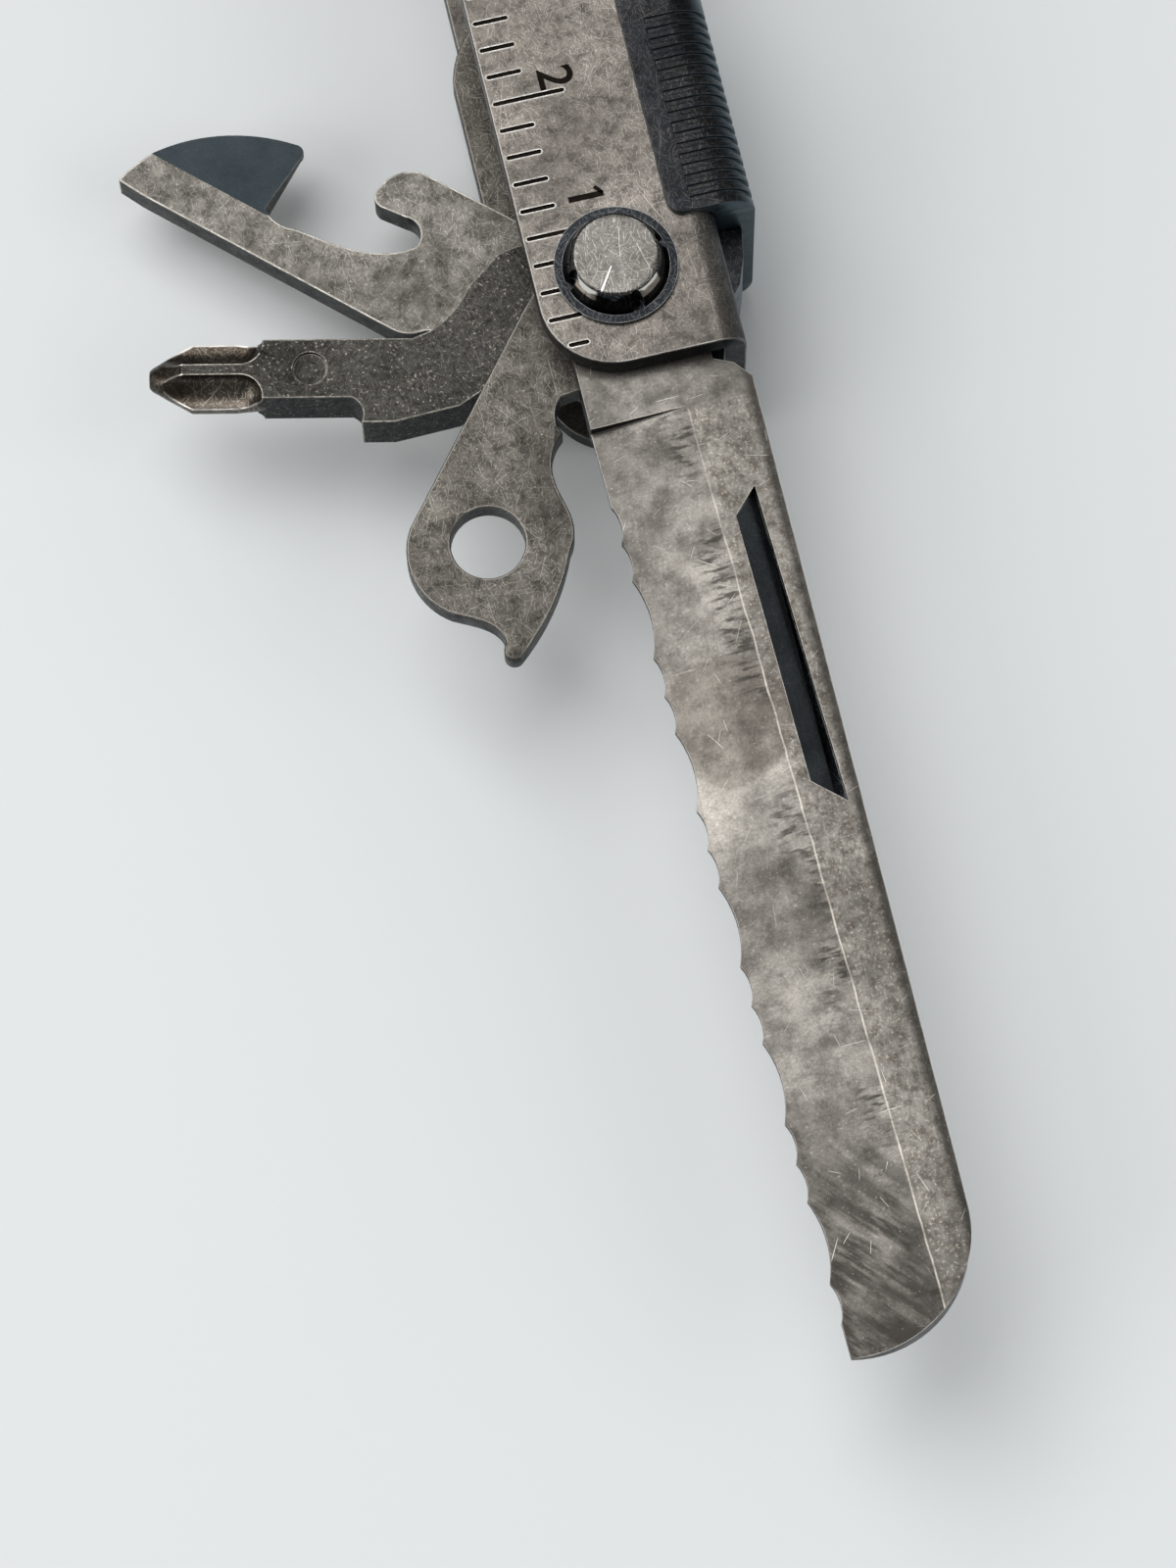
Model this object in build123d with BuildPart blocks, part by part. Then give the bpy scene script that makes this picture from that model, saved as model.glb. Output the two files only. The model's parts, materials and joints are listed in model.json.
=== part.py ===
from build123d import *
import math
import os

# A pliers-type folding pocket multi-tool, lying flat with its ruler face up.
# Millimetres. Pieces are drawn in the right handle's own frame: the tool axle
# is at x = 0, y = 0, +Y runs up the handle to the pliers, the channel is open
# towards -X, and z = 0 is the surface that the tool lies on. Left-hand pieces
# are drawn the same way, then mirrored and swung about the plier pivot.

# ---- handle ---------------------------------------------------------------
handle_width = 13.0          # open edge to the outside of the spine
handle_length = 112.0
sheet = 1.6                  # sheet that the channel is folded from
bend_radius = 1.8            # outside of the fold
axle_to_edge = 5.65          # axle to the open edge
axle_to_end = 6.75           # axle to the tool end
end_corner = 5.0             # plan radius of the open corner, tool end
head_corner = 6.0            # the same at the plier end
foot = 0.6                   # axle head below the handle, which it lies on

# ---- tool stacks, top to bottom -------------------------------------------
layer_gap = 0.25
washer_sheet = 0.15
washer_radius = 4.2
right_stack = {
    "serrated_knife": 2.4,
    "lanyard_hook": 1.8,
    "phillips_driver": 4.0,
    "can_opener": 2.4,
    "medium_flat_driver": 1.7,
}
left_stack = {
    "plain_knife": 2.4,
    "wood_metal_file": 2.6,
    "large_flat_driver": 3.0,
    "small_flat_driver": 2.2,
}
axle_radius = 2.0
axle_head_radius = 4.2
fit = 0.05                   # radial clearance of every running fit
slide_gap = 0.1              # clearance of sliding pieces, each side
side_clear = 0.3             # tools to the spine, and to the lug of the lock plate

# ---- how the pieces stand at rest -----------------------------------------
spread = 60.0                # angle between the two handles
handle_gap = 6.6             # between the open edges with the handles shut
neck_length = 12.75          # end of the handle to the plier pivot
open_angle = {
    "serrated_knife": 180.0,
    "lanyard_hook": 142.0,
    "phillips_driver": 77.2,
    "can_opener": 46.8,
}

# ---- axle nut -------------------------------------------------------------
nut_height = 2.3
nut_flange_radius = 4.15
nut_flange = 0.35
nut_foot_radius = 3.6
nut_top_radius = 2.95
nut_edge = 0.15
notch_radius = 0.45

# ---- blades ---------------------------------------------------------------
knife_length = 75.5          # axle to the tip
knife_back = 7.2             # axle line to the back of the blade
edge_base = 4.15             # axle line to the cutting edge, where it starts
edge_tip = 2.4               # the same at the tip
grind_start = 10.2
grind_width = 6.6
edge_land = 0.5              # thickness left at the cutting edge
large_scallop = 5.55
small_scallop = 2.68
large_scallop_depth = 0.55
small_scallop_depth = 0.32
nick_start = 16.5
nick_length = 22.7
nick_depth = 0.8
file_length = 68.0
file_half_width = 4.6
file_shift = 1.2             # middle of the file to the axle line
file_nick_place = 18.0
file_nick_length = 14.0
file_nick_width = 2.4
file_nick_depth = 0.5

# ---- can opener, lanyard hook and drivers ---------------------------------
opener_length = 35.0
opener_back = 7.85           # axle line to the straight lower edge
opener_grind = 10.2          # length of the ground blade
lanyard_hole_radius = 2.5
lanyard_hole_reach = 19.8
phillips_length = 31.6
phillips_axis = 4.5          # axle line to the shaft's middle
phillips_width = 4.2
phillips_point = 7.3         # length of the crossed point
wing_thickness = 0.75
flute_radius = 1.55
punch_place = 20.7           # axle to the punch mark on the shank
punch_radius = 1.15
punch_depth = 0.25
driver_shaft = 4.2
driver_edge = 0.9            # thickness of a flat driver's edge
thumb_side = 6.7             # axle line to the thumb edge of a driver
thumb_length = 22.0

# ---- lock slider ----------------------------------------------------------
slider_start = 2.6
slider_length = 19.4
slider_wrap = 3.05           # how far the flanges reach over the faces
slider_flange = 0.45
slider_crown = 2.85          # height over the spine
slider_round = 2.6
rib_pitch = 0.78
rib_depth = 0.4
rib_zone = 14.4
rib_wrap = 1.45              # how far the ribs reach over the faces
lock_travel = 3.5
lock_plate_width = 8.0
lock_plate_sheet = 0.7
tongue_length = 4.9          # past the slider, along the spine
tongue_height = 1.9
lug_start = 0.3
lug_length = 2.0
lug_width = 7.0
lug_reach = 0.25             # past the inside of the spine
spring_radius = 0.5
spring_wire = 0.12
spring_turns = 8
spring_inset = 5.0           # ends of the spring to the ends of the slider

# ---- plier head -----------------------------------------------------------
head_thickness = 8.6
joint_radius = 9.0           # lap disc at the pivot
joint_clear = 0.25
pivot_rivet_radius = 3.0
pivot_head_radius = 4.6
pivot_head = 0.8
jaw_length = 46.0            # pivot to the tip
jaw_tip_width = 2.6
jaw_clear = 0.15             # each jaw to the line where they meet
tooth_pitch = 1.2
tooth_depth = 0.5
pipe_grip_radius = 3.6
tang_inset = 1.55            # jaw tang to the inside of the spine
tang_open_inset = 1.45       # the same to the open edge
tang_length = 24.0
carriage_inset = 0.75        # carriage to the inside of the spine
carriage_open_inset = 0.65   # the same to the open edge
carriage_pin_radius = 1.25
button_length = 12.0
button_width = 7.0
button_proud = 1.8           # past the outside of the spine
button_lip = 0.8
leaf_sheet = 0.15

# ---- ruler ----------------------------------------------------------------
ruler_step = 2.0
mark_width = 0.3
short_mark = 2.4
long_mark = 4.9
mark_inset = 0.3
mark_depth = 0.12

# ---- worked out from the above --------------------------------------------
well = sum(right_stack.values()) + (len(right_stack) + 1) * layer_gap
spine_outer = handle_width - axle_to_edge
spine_inner = spine_outer - sheet
floor_level = foot + sheet
ceiling_level = floor_level + well
face_level = ceiling_level + sheet
mid_level = (foot + face_level) / 2
handle_top = handle_length - axle_to_end
pivot_reach = handle_top + neck_length
fold_line = -(axle_to_edge + handle_gap / 2)
bore_radius = axle_radius + fit
tang_radius = spine_inner - lug_reach - side_clear  # round base of every tool
lanyard_side = spine_inner - side_clear
button_level = handle_top - 13.0
tang_end = handle_top - tang_length
tang_side = spine_inner - tang_inset
tang_open = axle_to_edge - tang_open_inset
carriage_side = spine_inner - carriage_inset
carriage_open = axle_to_edge - carriage_open_inset
plate_top = slider_start + slider_length - 2.0
plier_axis = Axis((fold_line, pivot_reach, 0), (0, 0, 1))
tilt_back = (edge_base - edge_tip) / (knife_length - grind_start)


def layer_bases(stack):
    """Underside of each tool, counted down from the channel's ceiling."""
    bases = {}
    level = ceiling_level
    for tool, thickness in stack.items():
        level -= layer_gap + thickness
        bases[tool] = level
    return bases


right_base = layer_bases(right_stack)
left_base = layer_bases(left_stack)


# ---- handle channel -------------------------------------------------------
def ruler_marks():
    """Start, end and place of each mark; the rounded corner shortens the first."""
    marks = []
    count = int((handle_length - head_corner) / ruler_step)
    for number in range(1, count):
        length = long_mark if number % 5 == 0 else short_mark
        into_corner = max(0.0, end_corner - number * ruler_step)
        corner_cut = end_corner - math.sqrt(end_corner**2 - into_corner**2)
        start = -axle_to_edge + mark_inset + corner_cut
        end = -axle_to_edge + mark_inset + length
        if end - start > 2 * mark_width:
            marks.append((start, end, number * ruler_step - axle_to_end))
    return marks


def make_handle():
    with BuildPart() as handle:
        with BuildSketch(Plane.XZ.offset(axle_to_end)):
            with Locations(((spine_outer - axle_to_edge) / 2, mid_level)):
                Rectangle(handle_width, well + 2 * sheet)
            fillet(vertices().group_by(Axis.X)[-1], bend_radius)
            with Locations((spine_inner - handle_width / 2, mid_level)):
                Rectangle(handle_width, well, mode=Mode.SUBTRACT)
        extrude(amount=-handle_length)
        upright = handle.edges().filter_by(Axis.Z)
        fillet(upright.group_by(Axis.Y)[0].group_by(Axis.X)[0], end_corner)
        upright = handle.edges().filter_by(Axis.Z)
        fillet(upright.group_by(Axis.Y)[-1].group_by(Axis.X)[0], head_corner)
        with BuildSketch(Plane.XY):
            Circle(axle_radius)
        extrude(amount=face_level, mode=Mode.SUBTRACT)
        with BuildSketch(Plane.YZ.offset(spine_inner - fit)):
            with Locations((lug_start + (lug_length + lock_travel) / 2, mid_level)):
                Rectangle(lug_length + lock_travel + 2 * slide_gap, lug_width + 2 * slide_gap)
            with Locations((button_level, mid_level)):
                Rectangle(button_length + 2 * slide_gap, button_width + 2 * slide_gap)
        extrude(amount=sheet + 2 * fit, mode=Mode.SUBTRACT)
        with BuildSketch(Plane.XY.offset(face_level)):
            for start, end, y in ruler_marks():
                with Locations(((start + end) / 2, y)):
                    SlotOverall(end - start, mark_width)
        extrude(amount=-mark_depth, mode=Mode.SUBTRACT)
    return handle.part


# ---- axle, nut and washers ------------------------------------------------
def make_axle():
    with BuildPart() as axle:
        with BuildSketch(Plane.XY):
            Circle(axle_head_radius)
        extrude(amount=foot)
        chamfer(axle.edges().group_by(Axis.Z)[0], foot / 3)
        with BuildSketch(Plane.XY.offset(foot)):
            Circle(axle_radius - fit / 2)
        extrude(amount=face_level + nut_height / 2 - foot)
    return axle.part


def make_axle_nut():
    with BuildPart() as nut:
        with BuildSketch(Plane.XZ):
            with BuildLine():
                Polyline(
                    (0, face_level),
                    (nut_flange_radius, face_level),
                    (nut_flange_radius, face_level + nut_flange),
                    (nut_foot_radius, face_level + nut_flange),
                    (nut_top_radius, face_level + nut_height - nut_edge),
                    (nut_top_radius - nut_edge, face_level + nut_height),
                    (0, face_level + nut_height),
                    close=True,
                )
            make_face()
        revolve(axis=Axis.Z)
        with BuildSketch(Plane.XY.offset(face_level)):
            Circle(axle_radius)
        extrude(amount=nut_height / 2 + fit, mode=Mode.SUBTRACT)
        with BuildSketch(Plane.XY.offset(face_level + nut_flange)):
            with PolarLocations(nut_top_radius + 0.35, 4, start_angle=12):
                Circle(notch_radius)
        extrude(amount=nut_height, mode=Mode.SUBTRACT)
    return nut.part


def make_washers(stack):
    """One thin washer in each gap of the stack."""
    with BuildPart() as washers:
        levels = [ceiling_level - (layer_gap + washer_sheet) / 2]
        for base in layer_bases(stack).values():
            levels.append(base - (layer_gap + washer_sheet) / 2)
        for level in levels:
            with BuildSketch(Plane.XY.offset(level)):
                Circle(washer_radius)
                Circle(bore_radius, mode=Mode.SUBTRACT)
            extrude(amount=washer_sheet)
    return washers.part


def make_stack_spacer():
    """Ring that takes up what the left-hand tools leave of the well."""
    top = min(left_base.values()) - layer_gap
    with BuildPart() as spacer:
        with BuildSketch(Plane.XY.offset(floor_level + layer_gap)):
            Circle(tang_radius)
            Circle(bore_radius, mode=Mode.SUBTRACT)
        extrude(amount=top - floor_level - layer_gap)
    return spacer.part


# ---- blades ---------------------------------------------------------------
def blade_outline():
    """Plan of a sheepsfoot blade, folded, with its back past the open edge."""
    with BuildLine() as outline:
        back = Polyline((tang_radius - 0.8, 0), (edge_base, 4.5), (edge_base, grind_start),
                        (edge_tip, knife_length - 0.4))
        ThreePointArc(back @ 1, (-knife_back + 2.5, knife_length - 2.5), (-knife_back, knife_length - 8.5))
        Polyline((-knife_back, knife_length - 8.5), (-knife_back, axle_to_end + 2.2),
                 (-knife_back + 1.0, axle_to_end + 1.0), (-tang_radius + 0.3, axle_to_end + 0.4),
                 (-tang_radius + 0.3, 0), (tang_radius - 0.8, 0))
    return outline.line


def make_blade(base, thickness, serrated):
    top = base + thickness
    nick = nail_nick(top)
    with BuildPart() as blade:
        with BuildSketch(Plane.XY.offset(base)):
            add(blade_outline())
            make_face()
            Circle(tang_radius)
            Circle(bore_radius, mode=Mode.SUBTRACT)
            if serrated:
                scallops(Mode.SUBTRACT)
        extrude(amount=thickness)
        # flat grind on both sides, from the grind line down to the edge
        drop = (thickness - edge_land) / 2
        grind_plane = Plane(
            origin=(edge_base, grind_start, 0), x_dir=(1, tilt_back, 0), z_dir=(-tilt_back, 1, 0)
        )
        with BuildSketch(grind_plane):
            for level, side in ((top, -1), (base, 1)):
                with BuildLine():
                    Polyline((-grind_width, -level), (0.6, -level), (0.6, -level - side * drop * 1.09),
                             close=True)
                make_face()
        extrude(amount=knife_length, mode=Mode.SUBTRACT)
        add(nick, mode=Mode.SUBTRACT)
    return blade.part


def nail_nick(top):
    """Cutter for the nail nick: slanted ends, and a floor that deepens towards the back."""
    end = nick_start + nick_length
    deep = -knife_back + 1.3
    with BuildPart() as nick:
        with BuildSketch(Plane.XY.offset(top - nick_depth)):
            with BuildLine():
                Polyline((deep + 0.4, nick_start), (deep + 2.1, nick_start + 1.8), (deep + 1.7, end - 1.9),
                         (deep - 0.4, end), close=True)
            make_face()
        extrude(amount=2 * nick_depth)
        with BuildSketch(Plane.XZ.offset(-nick_start + 1)):
            with BuildLine():
                Polyline((deep - 0.6, top - nick_depth), (deep + 0.3, top - nick_depth), (deep + 2.1, top),
                         (deep + 2.1, top + 0.5), (deep - 0.6, top + 0.5), close=True)
            make_face()
        extrude(amount=-nick_length - 2, mode=Mode.INTERSECT)
    return nick.part


def scallops(mode):
    """Two small scallops and a large one, over and over along the edge."""
    place = grind_start + 2 * small_scallop
    number = 0
    while place < knife_length - large_scallop / 2:
        large = number % 3 == 2
        width = large_scallop if large else small_scallop
        depth = large_scallop_depth if large else small_scallop_depth
        radius = (width**2 / 4 + depth**2) / (2 * depth)
        middle = place + width / 2
        edge = edge_base - tilt_back * (middle - grind_start)
        with Locations((edge + radius - depth, middle)):
            Circle(radius, mode=mode)
        place += width
        number += 1


def make_file(base, thickness):
    with BuildPart() as tool:
        with BuildSketch(Plane.XY.offset(base)):
            start = axle_to_end + 1.2
            with Locations((-file_shift, (file_length + start) / 2)):
                Rectangle(2 * file_half_width, file_length - start)
            with BuildLine():
                Polyline((-file_shift - file_half_width, start + 1), (-file_shift + file_half_width, start + 1),
                         (tang_radius - 1, 0), (-tang_radius + 0.5, 0), (-tang_radius + 0.5, start - 1),
                         close=True)
            make_face()
            Circle(tang_radius)
            Circle(bore_radius, mode=Mode.SUBTRACT)
        extrude(amount=thickness)
        chamfer(tool.faces().sort_by(Axis.Y)[-1].edges(), 0.4)
        with BuildSketch(Plane.XY.offset(base + thickness)):
            with Locations((-file_shift, file_nick_place)):
                SlotOverall(file_nick_length, file_nick_width, rotation=90)
        extrude(amount=-file_nick_depth, mode=Mode.SUBTRACT)
    return tool.part


# ---- lanyard hook ---------------------------------------------------------
def make_lanyard_hook():
    base = right_base["lanyard_hook"]
    side = lanyard_side
    reach = lanyard_hole_reach
    with BuildPart() as hook:
        with BuildSketch(Plane.XY.offset(base)):
            with BuildLine():
                Line((tang_radius - 0.3, 0), (side - 0.3, 4))
                Line((side - 0.3, 4), (side, reach + 1.2))
                ThreePointArc((side, reach + 1.2), (side - 1.5, reach + 4.2), (0.4, reach + 5.5))
                Spline((0.4, reach + 5.5), (-1.8, reach + 5.15), (-3.0, reach + 5.3), (-3.8, reach + 5.9))
                ThreePointArc((-3.8, reach + 5.9), (-4.4, reach + 6.75), (-5.1, reach + 6.3))
                ThreePointArc((-5.1, reach + 6.3), (-side, reach + 1.4), (-4.9, reach - 1.8))
                Spline((-4.9, reach - 1.8), (-3.65, reach - 4.3), (-1.9, reach - 5.8), (-0.9, reach - 7.9),
                       (-1.0, reach - 9.1))
                ThreePointArc((-1.0, reach - 9.1), (-0.1, reach - 9.9), (0.2, reach - 11.4))
                Polyline((0.2, reach - 11.4), (-1.6, 6.6), (-tang_radius + 0.8, 0), (tang_radius - 0.3, 0))
            make_face()
            Circle(tang_radius)
            Circle(bore_radius, mode=Mode.SUBTRACT)
            with Locations((0.3, reach)):
                Circle(lanyard_hole_radius, mode=Mode.SUBTRACT)
        extrude(amount=right_stack["lanyard_hook"])
    return hook.part


# ---- Phillips driver ------------------------------------------------------
def make_phillips():
    base = right_base["phillips_driver"]
    thickness = right_stack["phillips_driver"]
    middle = base + thickness / 2
    shank_end = phillips_length - phillips_point
    half = phillips_width / 2
    inner = -phillips_axis + half
    outer = -phillips_axis - half
    with BuildPart() as driver:
        with BuildSketch(Plane.XY.offset(base)):
            with BuildLine():
                Polyline((inner, shank_end), (inner, 13.8), (-1.9, 12.6))
                ThreePointArc((-1.9, 12.6), (-0.3, 10.9), (1.3, 10.0))
                Line((1.3, 10.0), (3.6, 8.0))
                ThreePointArc((3.6, 8.0), (4.2, 6.6), (4.4, 5.0))
                Polyline((4.4, 5.0), (tang_radius - 0.3, 0), (-tang_radius + 0.2, 0),
                         (-tang_radius + 0.2, axle_to_end + 0.6), (-7.3, 10.6), (-8.4, 15.0), (-8.4, 17.2))
                ThreePointArc((-8.4, 17.2), (-7.3, 17.2), (outer, 17.9))
                Polyline((outer, 17.9), (outer, shank_end), (inner, shank_end))
            make_face()
            Circle(tang_radius)
            Circle(bore_radius, mode=Mode.SUBTRACT)
        extrude(amount=thickness)
        # the point: a cone kept to the stack's thickness, crossed by four flutes
        with BuildSketch(Plane(origin=(-phillips_axis, 0, middle), z_dir=(0, 0, 1))) as cone:
            with BuildLine():
                Polyline((0, shank_end - 1.2), (half, shank_end - 0.6), (half + 0.25, shank_end + 1.4),
                         (half + 0.25, phillips_length - 2.9), (0.8, phillips_length - 0.2),
                         (0.6, phillips_length), (0, phillips_length), close=True)
            make_face()
        revolve(axis=Axis((-phillips_axis, 0, middle), (0, 1, 0)))
        flute_start = shank_end + flute_radius - 0.4
        flute_offset = wing_thickness / 2 + flute_radius
        with BuildSketch(Plane.XZ.offset(-flute_start)):
            with Locations((-phillips_axis, middle)):
                with GridLocations(2 * flute_offset, 2 * flute_offset, 2, 2):
                    Circle(flute_radius)
        extrude(amount=-phillips_point, mode=Mode.SUBTRACT)
        for side in (-flute_offset, flute_offset):
            for level in (-flute_offset, flute_offset):
                with Locations((side - phillips_axis, flute_start, middle + level)):
                    Sphere(flute_radius, mode=Mode.SUBTRACT)
        with BuildSketch(Plane.XZ.offset(-shank_end + 2)):
            with Locations((-phillips_axis, middle)):
                Rectangle(phillips_width * 2, thickness * 3)
                Rectangle(phillips_width * 3, thickness, mode=Mode.SUBTRACT)
        extrude(amount=-phillips_point - 3, mode=Mode.SUBTRACT)
        with BuildSketch(Plane.XY.offset(base + thickness)):
            with Locations((-phillips_axis, punch_place)):
                Circle(punch_radius)
        extrude(amount=-punch_depth, mode=Mode.SUBTRACT)
    return driver.part


# ---- can and bottle opener ------------------------------------------------
def make_can_opener():
    base = right_base["can_opener"]
    top = base + right_stack["can_opener"]
    lower = -opener_back
    tip = opener_length
    with BuildPart() as opener:
        with BuildSketch(Plane.XY.offset(base)):
            with BuildLine():
                Line((tang_radius - 1.8, 0), (3.1, tip - 18))
                ThreePointArc((3.1, tip - 18), (1.9, tip - 16.2), (0.8, tip - 15.85))
                ThreePointArc((0.8, tip - 15.85), (-0.1, tip - 15.9), (-0.5, tip - 16.6))
                Line((-0.5, tip - 16.6), (-0.3, tip - 18.5))
                ThreePointArc((-0.3, tip - 18.5), (-0.8, tip - 20.0), (-1.85, tip - 20.2))
                Spline((-1.85, tip - 20.2), (-3.3, tip - 18.6), (-4.5, tip - 14.8), (-4.8, tip - 12.4))
                ThreePointArc((-4.8, tip - 12.4), (-4.9, tip - 10.5), (-4.5, tip - 9.75))
                Line((-4.5, tip - 9.75), (0.4, tip - 9.6))
                ThreePointArc((0.4, tip - 9.6), (1.1, tip - 9.4), (1.2, tip - 8.7))
                ThreePointArc((1.2, tip - 8.7), (-1.4, tip - 3.65), (lower + 0.15, tip))
                Polyline((lower + 0.15, tip), (lower, tip - 2), (lower, 13.2))
                ThreePointArc((lower, 13.2), (lower + 0.3, 12.0), (lower + 1.0, 11.2))
                Polyline((lower + 1.0, 11.2), (-tang_radius + 0.2, 8), (-tang_radius + 0.2, 0),
                         (tang_radius - 1.8, 0))
            make_face()
            Circle(tang_radius)
            Circle(bore_radius, mode=Mode.SUBTRACT)
        extrude(amount=right_stack["can_opener"])
        # grind down to the curved cutting edge
        with BuildSketch(Plane.XZ.offset(-tip + opener_grind)):
            with BuildLine():
                Polyline((-4.9, top), (3.5, top), (3.5, top - 2.6), close=True)
            make_face()
        extrude(amount=-opener_grind, mode=Mode.SUBTRACT)
    return opener.part


# ---- flat drivers ---------------------------------------------------------
def make_flat_driver(base, thickness, length, edge_width, shift):
    """A driver with a wide thumb body, a plain shaft and a flared edge."""
    side = -shift - driver_shaft / 2
    inner = -shift + driver_shaft / 2
    flare = (edge_width - driver_shaft) / 2
    with BuildPart() as driver:
        with BuildSketch(Plane.XY.offset(base)):
            with BuildLine():
                Polyline((-tang_radius + 0.2, 0), (-tang_radius + 0.2, 6.0), (-thumb_side, 10.0),
                         (-thumb_side, thumb_length - 1.0))
                ThreePointArc((-thumb_side, thumb_length - 1.0), (-thumb_side + 0.8, thumb_length + 1.2),
                              (side, thumb_length + 3.5))
                Polyline((side, thumb_length + 3.5), (side, length - 6), (side - flare, length - 2.5),
                         (side - flare, length), (inner + flare, length), (inner + flare, length - 2.5),
                         (inner, length - 6), (inner, 12.0), (tang_radius - 1.2, 7.0), (tang_radius - 1.2, 0),
                         (-tang_radius + 0.2, 0))
            make_face()
            Circle(tang_radius)
            Circle(bore_radius, mode=Mode.SUBTRACT)
        extrude(amount=thickness)
        drop = (thickness - driver_edge) / 2
        with BuildSketch(Plane.YZ.offset(-shift - edge_width)):
            for level, sign in ((base, 1), (base + thickness, -1)):
                with BuildLine():
                    Polyline((length - 8, level), (length + 1, level), (length + 1, level + sign * drop),
                             (length - 1, level + sign * drop), close=True)
                make_face()
        extrude(amount=2 * edge_width, mode=Mode.SUBTRACT)
    return driver.part


# ---- lock slider, plate, lug and spring -----------------------------------
def make_lock_slider():
    outer_height = face_level - foot + 2 * (slider_flange + fit)
    width = slider_wrap + slider_crown
    with BuildPart() as slider:
        with BuildSketch(Plane.XZ.offset(-slider_start)) as section:
            with Locations((spine_outer - slider_wrap + width / 2, mid_level)):
                Rectangle(width, outer_height)
            fillet(section.vertices().group_by(Axis.X)[-1], slider_round)
            with Locations((spine_outer + fit - handle_width / 2, mid_level)):
                RectangleRounded(handle_width, face_level - foot + 2 * fit, bend_radius, mode=Mode.SUBTRACT)
        extrude(amount=-slider_length)
        upright = slider.edges().filter_by(Axis.Z)
        fillet(upright.group_by(Axis.X)[0], 1.0)
        # cross ribs over the crown and a little way over both faces
        ribs = int(rib_zone / rib_pitch)
        for rib in range(ribs):
            with BuildSketch(Plane.XZ.offset(-slider_start - (rib + 0.75) * rib_pitch)) as groove:
                with Locations((spine_outer - rib_wrap + width / 2, mid_level)):
                    Rectangle(width, outer_height + 1)
                with Locations((spine_outer + slider_crown - rib_depth - width / 2, mid_level)):
                    RectangleRounded(width, outer_height - rib_depth, slider_round - rib_depth,
                                     mode=Mode.SUBTRACT)
            extrude(amount=-rib_pitch / 2, mode=Mode.SUBTRACT)
        # room for the lock plate, and a groove for the spring
        with BuildSketch(Plane.YZ.offset(spine_outer)):
            with Locations(((slider_start + plate_top) / 2, mid_level)):
                Rectangle(plate_top - slider_start + 2 * fit, lock_plate_width + 2 * fit)
        extrude(amount=lock_plate_sheet + 2 * fit, mode=Mode.SUBTRACT)
        with BuildSketch(Plane.XZ.offset(-slider_start - spring_inset)):
            with Locations((spine_outer + lock_plate_sheet + spring_radius + spring_wire + 2 * fit, mid_level)):
                Circle(spring_radius + spring_wire + 3 * fit)
        extrude(amount=-spring_length() - 2 * fit, mode=Mode.SUBTRACT)
    return slider.part


def spring_length():
    return slider_length - 2 * spring_inset


def make_lock_plate():
    """Plate under the crown, with the tongue below it and the lug inside."""
    start = spine_outer + fit
    with BuildPart() as plate:
        with BuildSketch(Plane.XY.offset(mid_level - lock_plate_width / 2)):
            with BuildLine():
                Polyline((start, plate_top), (start + lock_plate_sheet, plate_top),
                         (start + lock_plate_sheet, slider_start), (start + tongue_height, slider_start - fit),
                         (start + tongue_height - 0.4, slider_start - 2.1),
                         (start + tongue_height - 1.1, slider_start - 4.0),
                         (start, slider_start - tongue_length), close=True)
            make_face()
        extrude(amount=lock_plate_width)
        with BuildSketch(Plane.XY.offset(mid_level - lug_width / 2)):
            with Locations((spine_outer - (sheet + lug_reach) / 2 + fit, lug_start + lug_length / 2)):
                Rectangle(sheet + lug_reach, lug_length)
        extrude(amount=lug_width)
    return plate.part


def make_lock_spring():
    length = spring_length() - 2 * spring_wire - 2 * fit
    seat = (spine_outer + lock_plate_sheet + spring_radius + spring_wire + 2 * fit,
            slider_start + spring_inset + spring_wire + 2 * fit, mid_level)
    with BuildPart() as spring:
        with BuildLine():
            coil = Helix(pitch=length / spring_turns, height=length, radius=spring_radius,
                         center=seat, direction=(0, 1, 0))
        with BuildSketch(Plane(origin=coil @ 0, z_dir=coil % 0)):
            Circle(spring_wire)
        sweep(path=coil, is_frenet=True)
    return spring.part


def make_release_spring():
    """Leaf behind the release button, against the side of the jaw's tang."""
    with BuildPart() as leaf:
        with BuildSketch(Plane.YZ.offset(tang_side + fit)):
            with Locations((button_level, mid_level)):
                Rectangle(button_length, button_width - 2)
                SlotOverall(button_length - 4, 2, mode=Mode.SUBTRACT)
        extrude(amount=leaf_sheet)
    return leaf.part


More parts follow.
